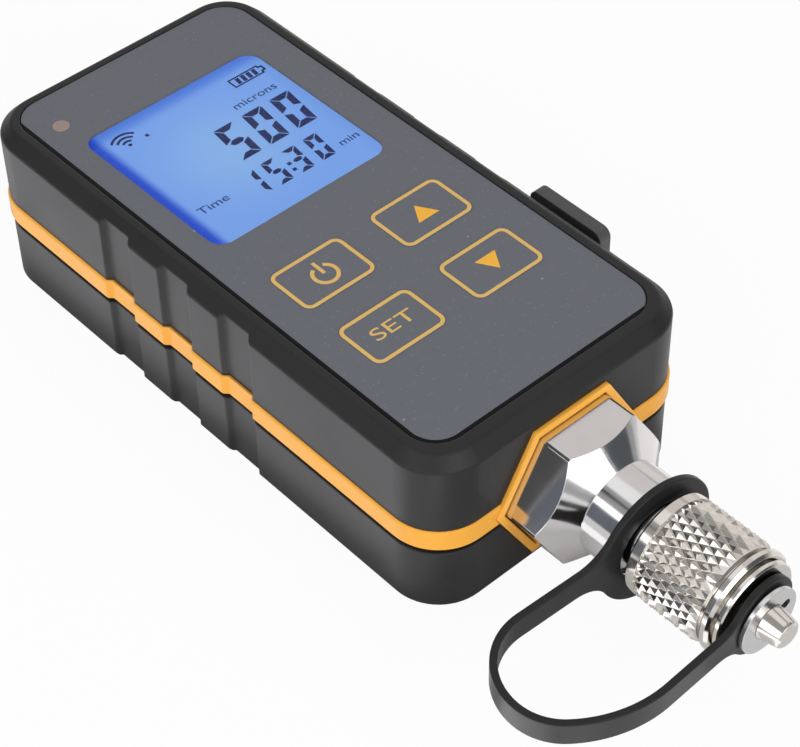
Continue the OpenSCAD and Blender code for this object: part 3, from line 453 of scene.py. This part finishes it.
# printed ink on the film and on the display
inkUsual = {"gloss": 0.1, "grain": 6000.0, "cloud": 1600.0}
inks = {
    "goldLine": {"shades": ((0.72, 0.45, 0.13), (0.82, 0.53, 0.17)), "rough": 0.5},
    "goldFill": {"shades": ((0.92, 0.46, 0.05), (0.98, 0.51, 0.065)), "rough": 0.5},
    "displayInk": {"shades": ((0.006, 0.012, 0.068), (0.010, 0.019, 0.095)), "rough": 0.6},
    "displayGrey": {"shades": ((0.010, 0.024, 0.110), (0.016, 0.032, 0.140)), "rough": 0.6},
}


def makeInk(name, look):
    material, tree, shader = startMaterial(
        name, Roughness=look["rough"], Specular_IOR_Level=inkUsual["gloss"],
    )
    grain = useGroup(tree, grainGroup, Scale=inkUsual["grain"], Cloud_Scale=inkUsual["cloud"])
    colour = mixColours(tree, grain.outputs["Cloud"], *look["shades"])
    wire(tree, colour, shader.inputs["Base Color"])
    return material


# backlit display: pale blue field, paler in the middle, with painted shade: deep blue along the near
# left edge under the opening's wall, and a darker far edge
displayLook = {
    "base": (0.01, 0.02, 0.05),
    "rough": 0.4,
    "field": (0.168, 0.324, 0.725),
    "middle": (0.222, 0.402, 0.72),
    "centre": (-0.56, 18.24),
    "middleFade": (15.0, 1.0),
    # painted shade along the near left edge, under the wall of the opening
    "nearShadeBlue": (0.010, 0.055, 0.50),
    "nearShadeSpan": (-12.3, -14.0),
    # painted shade along the far edge
    "farShadeBlue": (0.085, 0.20, 0.66),
    "farShadeSpan": (30.5, 33.5),
    "glow": 1.0,
}


def makeDisplay():
    look = displayLook
    material, tree, shader = startMaterial(
        "displayBlue", Roughness=look["rough"], Specular_IOR_Level=0.0,
        Base_Color=(*look["base"], 1.0), Emission_Strength=look["glow"],
    )
    place = addNode(tree, "ShaderNodeTexCoord")
    split = addNode(tree, "ShaderNodeSeparateXYZ")
    centre = addNode(tree, "ShaderNodeMapping", vector_type="POINT")
    centre.inputs["Location"].default_value = Vector((*look["centre"], 0.0)) * -mm
    flat = addNode(tree, "ShaderNodeMapping", vector_type="POINT")
    flat.inputs["Scale"].default_value = (1.0, 1.0, 0.0)
    away = addNode(tree, "ShaderNodeVectorMath", operation="LENGTH")
    wire(tree, place.outputs["Object"], split.inputs["Vector"])
    wire(tree, place.outputs["Object"], centre.inputs["Vector"])
    wire(tree, centre.outputs["Vector"], flat.inputs["Vector"])
    wire(tree, flat.outputs["Vector"], away.inputs[0])
    middle = fadeMask(tree, away.outputs["Value"], *look["middleFade"])
    # mask of the painted shade along the far edge
    upper = fadeMask(tree, split.outputs["Y"], *look["farShadeSpan"])
    # mask of the painted shade along the near left edge
    lamp = fadeMask(tree, split.outputs["X"], *look["nearShadeSpan"])
    field = mixColours(tree, middle, look["field"], look["middle"])
    farShaded = mixColours(tree, upper, field, look["farShadeBlue"])
    wire(tree, mixColours(tree, lamp, farShaded, look["nearShadeBlue"]), shader.inputs["Emission Color"])
    return material


# blue light of the display on the walls of its opening
displayGlow = {
    "spans": {"X": (-0.5, 16.8), "Y": (17.7, 16.8), "Z": (24.88, 0.6)},
    "shade": (0.055, 0.11, 0.44),
}


def addDisplayGlow(material):
    tree = material.node_tree
    shader = tree.nodes["Principled BSDF"]
    place = addNode(tree, "ShaderNodeTexCoord")
    split = addNode(tree, "ShaderNodeSeparateXYZ")
    wire(tree, place.outputs["Object"], split.inputs["Vector"])
    mask = None
    for axis, (middle, reach) in displayGlow["spans"].items():
        inside = addNode(tree, "ShaderNodeMath", operation="COMPARE")
        inside.inputs[1].default_value = middle * mm
        inside.inputs[2].default_value = reach * mm
        wire(tree, split.outputs[axis], inside.inputs[0])
        if mask is None:
            mask = inside.outputs["Value"]
            continue
        both = addNode(tree, "ShaderNodeMath", operation="MULTIPLY")
        wire(tree, mask, both.inputs[0])
        wire(tree, inside.outputs["Value"], both.inputs[1])
        mask = both.outputs["Value"]
    colour = mixColours(tree, mask, (0.0, 0.0, 0.0), displayGlow["shade"])
    wire(tree, colour, shader.inputs["Emission Color"])
    shader.inputs["Emission Strength"].default_value = 1.0
    return material


# clear window: bends the light a little, faint gloss on top
lensLook = {
    "shades": ((0.97, 0.98, 1.0), (1.0, 1.0, 1.0)),
    "rough": 0.02, "bend": 1.12, "grain": 900.0, "cloud": 60.0,
}


def makeLens():
    material, tree, shader = startMaterial(
        "lensClear", Roughness=lensLook["rough"], IOR=lensLook["bend"], Transmission_Weight=1.0,
    )
    grain = useGroup(tree, grainGroup, Scale=lensLook["grain"], Cloud_Scale=lensLook["cloud"])
    colour = mixColours(tree, grain.outputs["Cloud"], *lensLook["shades"])
    wire(tree, colour, shader.inputs["Base Color"])
    return material


finishes = {name: makePlastic(name, look) for name, look in plastics.items()}
finishes.update({name: makeMetal(name, look) for name, look in metals.items()})
finishes.update({name: makeInk(name, look) for name, look in inks.items()})
finishes["labelFilm"] = makeLabelFilm()
finishes["displayBlue"] = makeDisplay()
finishes["lensClear"] = makeLens()
finishes["caseFront"] = addDisplayGlow(makePlastic("caseFront", plastics["caseBlack"]))
print("materials:", len(finishes))

nodeFinish = {
    "front_case": "caseFront", "rear_case": "caseBlack", "battery_door": "caseBlack",
    "side_hook": "hookBlack", "seam_band": "bandOrange", "hex_bezel": "bezelOrange",
    "face_label": "labelFilm", "display_lens": "lensClear", "display_panel": "displayBlue",
    "light_guide": "guideWhite", "main_board": "boardGreen", "sensor_board": "boardGreen",
    "board_screws": "screwSteel", "door_screw": "screwSteel", "case_screws": "screwSteel",
    "hook_screws": "screwSteel", "key_switches": "switchBlack", "plunger_power": "plungerCream",
    "plunger_up": "plungerCream", "plunger_set": "plungerCream", "plunger_down": "plungerCream",
    "status_pipe": "pipePink", "status_led": "ledWhite", "radio_module": "shieldTin",
    "battery_cells": "cellWrap", "battery_contacts": "contactNickel", "sensor_fitting": "fittingSteel",
    "fitting_gasket": "sealRubber", "fitting_nut": "nutBrass", "sensor_element": "sensorSteel",
    "flare_cap": "capNickel", "cap_seal": "sealRubber", "cap_strap": "strapRubber",
    "strap_clip": "clipSteel",
}
for name, finish in nodeFinish.items():
    mesh = nodes[name].data
    mesh.materials.clear()
    mesh.materials.append(finishes[finish])
print("nodes finished:", len(nodeFinish))


# pieces added to the frame
def addPiece(name, shape, finish, body):
    mesh = bpy.data.meshes.new(name)
    shape.to_mesh(mesh)
    shape.free()
    mesh.materials.append(finishes[finish])
    piece = bpy.data.objects.new(name, mesh)
    scene.collection.objects.link(piece)
    if body:
        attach(piece, body)
    return piece


def thicken(shape, low, height):
    for vert in shape.verts:
        vert.co.z = low * mm
    bmesh.ops.recalc_face_normals(shape, faces=shape.faces)
    raised = bmesh.ops.extrude_face_region(shape, geom=shape.faces[:])
    lifted = [item for item in raised["geom"] if isinstance(item, bmesh.types.BMVert)]
    bmesh.ops.translate(shape, verts=lifted, vec=(0, 0, height * mm))
    bmesh.ops.recalc_face_normals(shape, faces=shape.faces)


def addFace(shape, corners):
    return shape.faces.new([shape.verts.new((x * mm, y * mm, 0)) for x, y in corners])


def addBar(shape, x0, y0, x1, y1):
    addFace(shape, [(x0, y0), (x1, y0), (x1, y1), (x0, y1)])


def addArc(shape, centre, inner, outer, start, sweep, steps):
    turn = Matrix.Rotation(math.radians(start), 4, "Z")
    middle = Vector((*centre, 0)) * mm
    ends = [shape.verts.new(turn @ Vector((r * mm, 0, 0)) + middle) for r in (inner, outer)]
    edge = shape.edges.new(ends)
    bmesh.ops.spin(
        shape, geom=[edge, *ends], cent=middle, axis=(0, 0, 1),
        angle=math.radians(sweep), steps=steps, use_merge=False,
    )


# mesh of a flat curve or text; the curve object is used up
def flatMesh(name, curve):
    drawn = bpy.data.objects.new(name, curve)
    scene.collection.objects.link(drawn)
    bpy.context.view_layer.update()
    settled = drawn.evaluated_get(bpy.context.evaluated_depsgraph_get())
    flat = bpy.data.meshes.new_from_object(settled)
    bpy.data.objects.remove(drawn)
    bpy.data.curves.remove(curve)
    return flat


def addWord(shape, word, left, base, size, width):
    curve = bpy.data.curves.new(word, "FONT")
    curve.body = word
    curve.size = size * mm
    flat = flatMesh(word, curve)
    xs = [vert.co.x for vert in flat.vertices]
    stretch = width * mm / (max(xs) - min(xs))
    shift = Matrix.Translation((left * mm - min(xs) * stretch, base * mm, 0))
    flat.transform(shift @ Matrix.Diagonal((stretch, 1, 1, 1)))
    shape.from_mesh(flat)
    bpy.data.meshes.remove(flat)


cornerSteps = 10


def addRoundFace(shape, centre, size, corner):
    x, y = centre
    w, h = size[0] / 2, size[1] / 2
    panel = addFace(shape, [(x - w, y - h), (x + w, y - h), (x + w, y + h), (x - w, y + h)])
    bmesh.ops.bevel(
        shape, geom=list(panel.verts), affect="VERTICES", offset=corner * mm, segments=cornerSteps,
        profile=0.5, material=-1,
    )


# glass of the display, standing up into the opening under the lens
displayGlass = {"centre": (-0.5, 17.7), "size": (32.4, 32.4), "corner": 1.4}


def makeDisplayGlass():
    shape = bmesh.new()
    addRoundFace(shape, displayGlass["centre"], displayGlass["size"], displayGlass["corner"])
    thicken(shape, gauge["panelTop"], gauge["figureBase"] - gauge["panelTop"])
    addPiece("displayGlass", shape, "displayBlue", "gauge")


# figures of the display, seven-bar digits with a lean
figures = {
    "lean": 0.12,
    "bigBase": 15.64, "bigSize": (3.5, 7.6), "bigBar": 1.12,
    "bigPlaces": [("5", -0.96), ("0", 4.14), ("0", 9.21)],
    "smallBase": 8.09, "smallSize": (2.35, 5.3), "smallBar": 0.78,
    "smallPlaces": [("1", -4.11), ("5", -0.36), ("3", 3.39), ("0", 7.29)],
    "cornerGap": 0.11, "waistGap": 0.21,
    "dots": [(2.89, 9.09), (3.09, 10.49)], "dotSize": 0.6,
    "thick": 0.03,
}
digitBars = {"0": "abcdef", "1": "bc", "3": "abcdg", "5": "acdfg"}


def addDigit(shape, digit, left, base, size, bar):
    w, h = size
    t, m, lean = bar, h / 2, figures["lean"]
    s, n = figures["cornerGap"], figures["waistGap"]
    outlines = {
        "a": [(s, h), (w - s, h), (w - t - s, h - t), (t + s, h - t)],
        "b": [(w, h - s), (w, m + n), (w - t, m + t / 2 + n), (w - t, h - t - s)],
        "c": [(w, m - n), (w, s), (w - t, t + s), (w - t, m - t / 2 - n)],
        "d": [(s, 0), (t + s, t), (w - t - s, t), (w - s, 0)],
        "e": [(0, s), (0, m - n), (t, m - t / 2 - n), (t, t + s)],
        "f": [(0, m + n), (0, h - s), (t, h - t - s), (t, m + t / 2 + n)],
        "g": [
            (0.5 * t, m), (t, m + t / 2), (w - t, m + t / 2),
            (w - 0.5 * t, m), (w - t, m - t / 2), (t, m - t / 2),
        ],
    }
    for key in digitBars[digit]:
        addFace(shape, [(left + x + lean * y, base + y) for x, y in outlines[key]])


def makeFigures():
    shape = bmesh.new()
    for kind in ("big", "small"):
        base, size, bar = (figures[kind + part] for part in ("Base", "Size", "Bar"))
        for digit, left in figures[kind + "Places"]:
            addDigit(shape, digit, left, base, size, bar)
    dotSize = figures["dotSize"]
    for x, y in figures["dots"]:
        addBar(shape, x, y, x + dotSize, y + dotSize)
    thicken(shape, gauge["figureBase"], figures["thick"])
    addPiece("displayFigures", shape, "displayInk", "gauge")


# battery sign, wireless sign and the small words of the display
signs = {
    "battery": {
        "left": 8.55, "right": 13.7, "low": 28.59, "high": 30.69,
        "line": 0.26, "tip": 0.8, "step": 0.45,
        "bars": {"first": 9.45, "thick": 0.64, "pitch": 1.0, "count": 4, "inset": 0.38, "lean": 0.14},
    },
    "wireless": {
        "centre": (-10.16, 28.99), "rings": (0.92, 1.76, 2.6), "line": 0.40, "span": 98.0, "steps": 16,
        "dot": 0.3, "dotSteps": 14,
    },
    "mark": (-7.41, 28.74, -6.91, 29.34),
    "words": [  # word, left, base, size, width
        ("microns", 5.54, 24.74, 2.0, 7.5),
        ("Time", -12.11, 10.69, 2.0, 5.0),
        ("min", 11.3, 8.64, 1.9, 3.2),
    ],
}


def addBattery(shape):
    b = signs["battery"]
    left, low, high = b["left"], b["low"], b["high"]
    end, tip, step = b["right"] + b["line"], b["right"] + b["tip"], b["step"]
    outline = addFace(shape, [
        (left, low), (end, low), (end, low + step), (tip, low + step),
        (tip, high - step), (end, high - step), (end, high), (left, high),
    ])
    shape.normal_update()  # the inset needs the face's normal
    bmesh.ops.inset_individual(
        shape, faces=[outline], thickness=b["line"] * mm, depth=0, use_even_offset=True,
    )
    bmesh.ops.delete(shape, geom=[outline], context="FACES")
    bars = b["bars"]
    foot, head, lean = low + bars["inset"], high - bars["inset"], bars["lean"]
    for i in range(bars["count"]):
        near = bars["first"] + i * bars["pitch"]
        far = near + bars["thick"]
        addFace(shape, [(near, foot), (far, foot), (far + lean, head), (near + lean, head)])


def addWireless(shape):
    w = signs["wireless"]
    half = w["line"] / 2
    for ring in w["rings"]:
        addArc(shape, w["centre"], ring - half, ring + half, 90 - w["span"] / 2, w["span"], w["steps"])
    bmesh.ops.create_circle(
        shape, cap_ends=True, segments=w["dotSteps"], radius=w["dot"] * mm,
        matrix=Matrix.Translation(Vector((*w["centre"], 0)) * mm),
    )


def makeSigns():
    shape = bmesh.new()
    addBattery(shape)
    addWireless(shape)
    thicken(shape, gauge["figureBase"], figures["thick"])
    addPiece("displaySigns", shape, "displayInk", "gauge")
    shape = bmesh.new()
    for row in signs["words"]:
        addWord(shape, *row)
    addBar(shape, *signs["mark"])
    thicken(shape, gauge["figureBase"], figures["thick"])
    addPiece("displayWords", shape, "displayGrey", "gauge")


# printed outlines and symbols of the four keys
keyPrint = {
    "line": 0.55, "corner": 1.4, "thick": 0.02,
    "power": {
        "centre": (-8.5, -10.6), "radius": 1.74, "line": 0.56, "gap": 56.0, "steps": 48,
        "bar": {"thick": 0.52, "low": 0.15, "high": 2.7},
    },
    "up": [(8.87, -8.67), (7.04, -11.7), (10.7, -11.7)],
    "down": [(7.08, -22.35), (8.88, -25.35), (10.7, -22.35)],
    "word": ("SET", -11.85, -24.7, 3.15, 6.8),
}


def makeKeyOutlines():
    shape = bmesh.new()
    for place in gauge["keyPlaces"].values():
        addRoundFace(shape, place, gauge["padSize"], keyPrint["corner"])
    pads = shape.faces[:]
    bmesh.ops.inset_individual(shape, faces=pads, thickness=keyPrint["line"] * mm, depth=0)
    bmesh.ops.delete(shape, geom=pads, context="FACES")
    thicken(shape, gauge["padTop"], keyPrint["thick"])
    addPiece("keyOutlines", shape, "goldLine", "gauge")


def makeKeySymbols():
    shape = bmesh.new()
    power = keyPrint["power"]
    radius, half, gap = power["radius"], power["line"] / 2, power["gap"]
    start, sweep = 90 + gap / 2, 360 - gap
    addArc(shape, power["centre"], radius - half, radius + half, start, sweep, power["steps"])
    (x, y), bar = power["centre"], power["bar"]
    addBar(shape, x - bar["thick"] / 2, y + bar["low"], x + bar["thick"] / 2, y + bar["high"])
    addWord(shape, *keyPrint["word"])
    thicken(shape, gauge["padTop"], keyPrint["thick"])
    addPiece("keySymbols", shape, "goldLine", "gauge")
    shape = bmesh.new()
    addFace(shape, keyPrint["up"])
    addFace(shape, keyPrint["down"])
    thicken(shape, gauge["padTop"], keyPrint["thick"])
    addPiece("keyArrows", shape, "goldFill", "gauge")


makeDisplayGlass()
makeFigures()
makeSigns()
makeKeyOutlines()
makeKeySymbols()
print("display and keys drawn")


# rubber strap: cut flat with its two rings, then bent round, legs leaning out
strap = {
    "thick": 1.0, "width": 3.7, "round": 0.16, "splay": 2.5, "cuts": 0.7,
    "roundSteps": 3, "ringSteps": 72, "flareSteps": 10, "stretch": (-65.5, -77.5),
    "reach": 32.0, "backBend": 9.1, "tipBend": 7.9, "tipTurn": 50.0,
    "large": {"outer": 9.3, "hole": 6.0, "flare": 6.0, "drop": 0.82, "plane": 62.45},
    "small": {"outer": 5.6, "hole": 2.58, "flare": 5.0, "drop": 0.0, "plane": 80.05},
}


mergeGap, cutGap = 1e-7, 1e-8  # metres, far below the strap's finest step
pastEnd = 1e3  # millimetres, longer than the last leg


def arcPoints(centre, radius, start, end, steps):
    angles = [start + (end - start) * i / steps for i in range(steps + 1)]
    return [(centre[0] + radius * math.cos(a), centre[1] + radius * math.sin(a)) for a in angles]


def ringOutline(ring):
    rise = strap["width"] / 2 + ring["flare"]
    span = ring["outer"] + ring["flare"]
    upper = (math.sqrt(span ** 2 - (rise + ring["drop"]) ** 2), rise)
    lower = (math.sqrt(span ** 2 - (rise - ring["drop"]) ** 2), -rise)
    hub = (0, -ring["drop"])
    top = math.atan2(upper[1] - hub[1], upper[0])
    low = math.atan2(lower[1] - hub[1], lower[0])
    flare, steps = ring["flare"], strap["flareSteps"]
    return (
        arcPoints(upper, flare, -math.pi / 2, top - math.pi, steps)
        + arcPoints(hub, ring["outer"], top, low + 2 * math.pi, strap["ringSteps"])[1:-1]
        + arcPoints(lower, flare, low + math.pi, math.pi / 2, steps)
    )


def cutStrap(length):
    large, small = strap["large"], strap["small"]
    curve = bpy.data.curves.new("capStrap", "CURVE")
    curve.dimensions = "2D"
    curve.fill_mode = "BOTH"
    curve.bevel_depth = strap["round"] * mm
    curve.bevel_resolution = strap["roundSteps"]
    curve.offset = -strap["round"] * mm
    curve.extrude = (strap["thick"] / 2 - strap["round"]) * mm
    loops = [ringOutline(large) + [(length - x, -y) for x, y in ringOutline(small)]]
    for ring, middle in ((large, 0), (small, length)):
        hub = (middle, -ring["drop"])
        loops.append(arcPoints(hub, ring["hole"], 0, 2 * math.pi, strap["ringSteps"])[:-1])
    for loop in loops:
        spline = curve.splines.new("POLY")
        spline.points.add(len(loop) - 1)
        spline.use_cyclic_u = True
        for point, (x, y) in zip(spline.points, loop):
            point.co = (x * mm, y * mm, 0, 1)
    flat = flatMesh("capStrapFlat", curve)
    shape = bmesh.new()
    shape.from_mesh(flat)
    bpy.data.meshes.remove(flat)
    bmesh.ops.remove_doubles(shape, verts=shape.verts, dist=mergeGap)
    return shape


# lengths of the two legs and of the three bends between them
def strapPath():
    lean, tip = math.radians(strap["splay"]), math.radians(strap["tipTurn"])
    rise = math.tan(lean)
    back, tipBend = strap["backBend"], strap["tipBend"]
    firstLeg = (strap["reach"] - back * (1 + math.sin(lean))) / math.cos(lean)
    tipPlane = strap["large"]["plane"] - firstLeg * math.sin(lean) + back * math.cos(lean)
    side = strap["reach"] - tipBend * (1 - math.cos(tip))
    ahead = strap["small"]["plane"] - tipPlane - tipBend * math.sin(tip)
    across = math.cos(tip) + math.sin(lean)
    front = (ahead + side * rise) / (math.cos(lean) - math.sin(tip) + across * rise)
    lastLeg = (side - front * across) / math.cos(lean)
    bends = [(back, math.pi / 2 + lean), (tipBend, tip), (front, math.pi / 2 - tip + lean)]
    return firstLeg, bends, lastLeg


# lays the flat strap along its path, a stretch at a time
def bendStrap(shape, firstLeg, bends):
    starts = []
    spot, begun = Vector((0, -strap["large"]["plane"])), 0.0
    heading = math.pi - math.radians(strap["splay"])
    for radius, turn in [(0, firstLeg), *bends, (0, pastEnd)]:
        starts.append((begun, spot, heading, radius))
        onward = Vector((math.cos(heading), math.sin(heading)))
        inward = Vector((-onward.y, onward.x))
        if radius:
            spot = spot + radius * (inward + math.sin(turn) * onward - math.cos(turn) * inward)
            heading, begun = heading + turn, begun + radius * turn
        else:
            spot, begun = spot + turn * onward, begun + turn
    for vert in shape.verts:
        along, side, out = (value / mm for value in vert.co)
        begun, spot, heading, radius = [row for row in starts if row[0] <= max(along, 0)][-1]
        if radius:
            turned = (along - begun) / radius
            inward = Vector((-math.sin(heading), math.cos(heading)))
            onward = Vector((math.cos(heading), math.sin(heading)))
            spot = spot + radius * (inward + math.sin(turned) * onward - math.cos(turned) * inward)
            heading += turned
        else:
            spot = spot + (along - begun) * Vector((math.cos(heading), math.sin(heading)))
        spot = spot + out * Vector((math.sin(heading), -math.cos(heading)))
        vert.co = (spot.x * mm, spot.y * mm, (gauge["inletHeight"] + side) * mm)


def makeStrap():
    firstLeg, bends, lastLeg = strapPath()
    curved = sum(radius * turn for radius, turn in bends)
    shape = cutStrap(firstLeg + curved + lastLeg)
    place = firstLeg
    while place < firstLeg + curved + strap["cuts"]:
        bmesh.ops.bisect_plane(
            shape, geom=shape.verts[:] + shape.edges[:] + shape.faces[:], dist=cutGap,
            plane_co=(place * mm, 0, 0), plane_no=(1, 0, 0),
        )
        place += strap["cuts"]
    bendStrap(shape, firstLeg, bends)
    bmesh.ops.recalc_face_normals(shape, faces=shape.faces)
    for face in shape.faces:
        face.smooth = True
    piece = addPiece("capStrapBand", shape, "strapRubber", None)
    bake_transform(piece)
    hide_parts("cap_strap")


makeStrap()
print("strap bent")


# pale floor, soft lamps, and bright and dark cards that only reflections see
studio = {
    "floor": (0.90, 0.90, 0.90),
    "floorGlow": 0.94,
    "floorHalf": 4.0,
    "floorHeight": -0.0002,
    "aim": (0, 0, 0.01),
    "ambient": 0.34,
    "sky": 0.42,
    "lamps": [  # name, place, size, watts
        ("overhead", (0.25, 0.35, 0.85), (0.9, 0.9), 1.7),
        ("leftSide", (-0.85, 0.05, 0.35), (1.4, 0.8), 5.4),
        ("frontFill", (-0.10, -0.85, 0.45), (0.9, 0.6), 5.6),
    ],
    "cards": [  # name, place, size, light; a card at height 0 lies on the floor
        ("backRightCard", (0.28, 0.32, 0.43), (0.50, 0.45), (0.80, 0.76, 0.75)),
        ("rightBackCard", (0.43, 0.35, 0.12), (0.55, 0.30), (0.90, 0.85, 0.82)),
        ("rightHighCard", (0.50, 0.0, 0.32), (0.36, 0.36), (1.0, 0.97, 0.95)),
        ("overCard", (0.12, -0.08, 0.58), (0.28, 0.28), (1.05, 1.02, 1.0)),
        ("backCard", (0.16, 0.48, 0.32), (0.28, 0.22), (0.95, 0.91, 0.88)),
        ("backFarCard", (-0.19, 0.50, 0.25), (0.24, 0.24), (0.10, 0.10, 0.11)),
        ("backHighCard", (-0.06, 0.32, 0.51), (0.16, 0.20), (1.3, 1.3, 1.3)),
        ("backDarkCard", (-0.26, 0.33, 0.42), (0.19, 0.30), (0.05, 0.055, 0.06)),
        ("backLeftCard", (-0.40, 0.28, 0.13), (0.55, 0.30), (0.14, 0.155, 0.185)),
        ("frontRightCard", (0.36, -0.35, 0.20), (0.42, 0.30), (0.11, 0.12, 0.13)),
        ("leftFloorCard", (-0.0376, 0.030, 0.0), (0.0228, 0.13), (2.15, 2.12, 2.2)),
        ("cornerFloorCard", (-0.038, -0.045, 0.0), (0.026, 0.02), (1.35, 1.35, 1.37)),
        ("rightFloorCard", (0.105, -0.085, 0.0), (0.16, 0.10), (1.05, 1.03, 1.02)),
        ("strapFloorCard", (-0.0152, -0.092, 0.0), (0.0256, 0.020), (1.5, 1.48, 1.51)),
        ("loopFloorCard", (-0.040, -0.0895, 0.0), (0.024, 0.021), (2.5, 2.46, 2.52)),
        ("bendFloorCard", (-0.045, -0.069, 0.0), (0.020, 0.020), (3.8, 3.75, 3.82)),
    ],
}


def lightWorld():
    world = bpy.data.worlds.new("paleStudio")
    world.use_nodes = True
    scene.world = world
    tree = world.node_tree
    sky = tree.nodes["Background"]
    sky.inputs["Color"].default_value = (1, 1, 1, 1)
    path = addNode(tree, "ShaderNodeLightPath")
    mirrored = addNode(tree, "ShaderNodeMapRange")
    mirrored.inputs["To Min"].default_value = studio["ambient"]
    mirrored.inputs["To Max"].default_value = studio["sky"]
    shown = addNode(tree, "ShaderNodeMath", operation="MAXIMUM")
    level = addNode(tree, "ShaderNodeMath", operation="MAXIMUM")
    wire(tree, path.outputs["Is Glossy Ray"], mirrored.inputs["Value"])
    wire(tree, path.outputs["Is Camera Ray"], shown.inputs[0])
    wire(tree, path.outputs["Is Transmission Ray"], shown.inputs[1])
    wire(tree, shown.outputs["Value"], level.inputs[0])
    wire(tree, mirrored.outputs["Result"], level.inputs[1])
    wire(tree, level.outputs["Value"], sky.inputs["Strength"])


def addStage(name, half, material):
    shape = bmesh.new()
    bmesh.ops.create_grid(shape, x_segments=1, y_segments=1, size=half)
    mesh = bpy.data.meshes.new(name)
    shape.to_mesh(mesh)
    shape.free()
    mesh.materials.append(material)
    sheet = bpy.data.objects.new(name, mesh)
    scene.collection.objects.link(sheet)
    return sheet


# the floor shows the camera mostly its own pale glow, and keeps the object's shadow
def layFloor():
    paper, tree, shader = startMaterial(
        "palePaper", Roughness=0.9, Specular_IOR_Level=0.0, Base_Color=(*studio["floor"], 1),
    )
    glow = addNode(tree, "ShaderNodeEmission")
    glow.inputs["Strength"].default_value = 1.0
    share = addNode(tree, "ShaderNodeMath", operation="MULTIPLY")
    share.inputs[1].default_value = studio["floorGlow"]
    mix = addNode(tree, "ShaderNodeMixShader")
    path = addNode(tree, "ShaderNodeLightPath")
    wire(tree, path.outputs["Is Camera Ray"], share.inputs[0])
    wire(tree, share.outputs["Value"], mix.inputs["Fac"])
    wire(tree, shader.outputs["BSDF"], mix.inputs[1])
    wire(tree, glow.outputs["Emission"], mix.inputs[2])
    wire(tree, mix.outputs["Shader"], tree.nodes["Material Output"].inputs["Surface"])
    floor = addStage("paleFloor", studio["floorHalf"], paper)
    floor.data.transform(Matrix.Translation((0, 0, studio["floorHeight"])))


def hangCards():
    for name, place, size, light in studio["cards"]:
        sheet = startMaterial(
            name, Roughness=1.0, Specular_IOR_Level=0.0, Base_Color=(0, 0, 0, 1),
            Emission_Color=(*light, 1), Emission_Strength=1.0,
        )[0]
        card = addStage(name, 0.5, sheet)
        card.data.transform(Matrix.Diagonal((*size, 1, 1)))
        card.location = place
        if place[2] > 0:
            card.rotation_euler = Vector(place).to_track_quat("Z", "Y").to_euler()
        card.visible_camera = False
        card.visible_diffuse = False
        card.visible_shadow = False
        card.visible_transmission = False


def hangLamps():
    for name, place, size, power in studio["lamps"]:
        data = bpy.data.lights.new(name, "AREA")
        data.shape = "RECTANGLE"
        data.size, data.size_y = size
        data.energy = power
        lamp = bpy.data.objects.new(name, data)
        lamp.location = place
        towards = Vector(studio["aim"]) - Vector(place)
        lamp.rotation_euler = towards.to_track_quat("-Z", "Y").to_euler()
        scene.collection.objects.link(lamp)


lightWorld()
layFloor()
hangCards()
hangLamps()
print("studio lit")

bpy.context.view_layer.update()
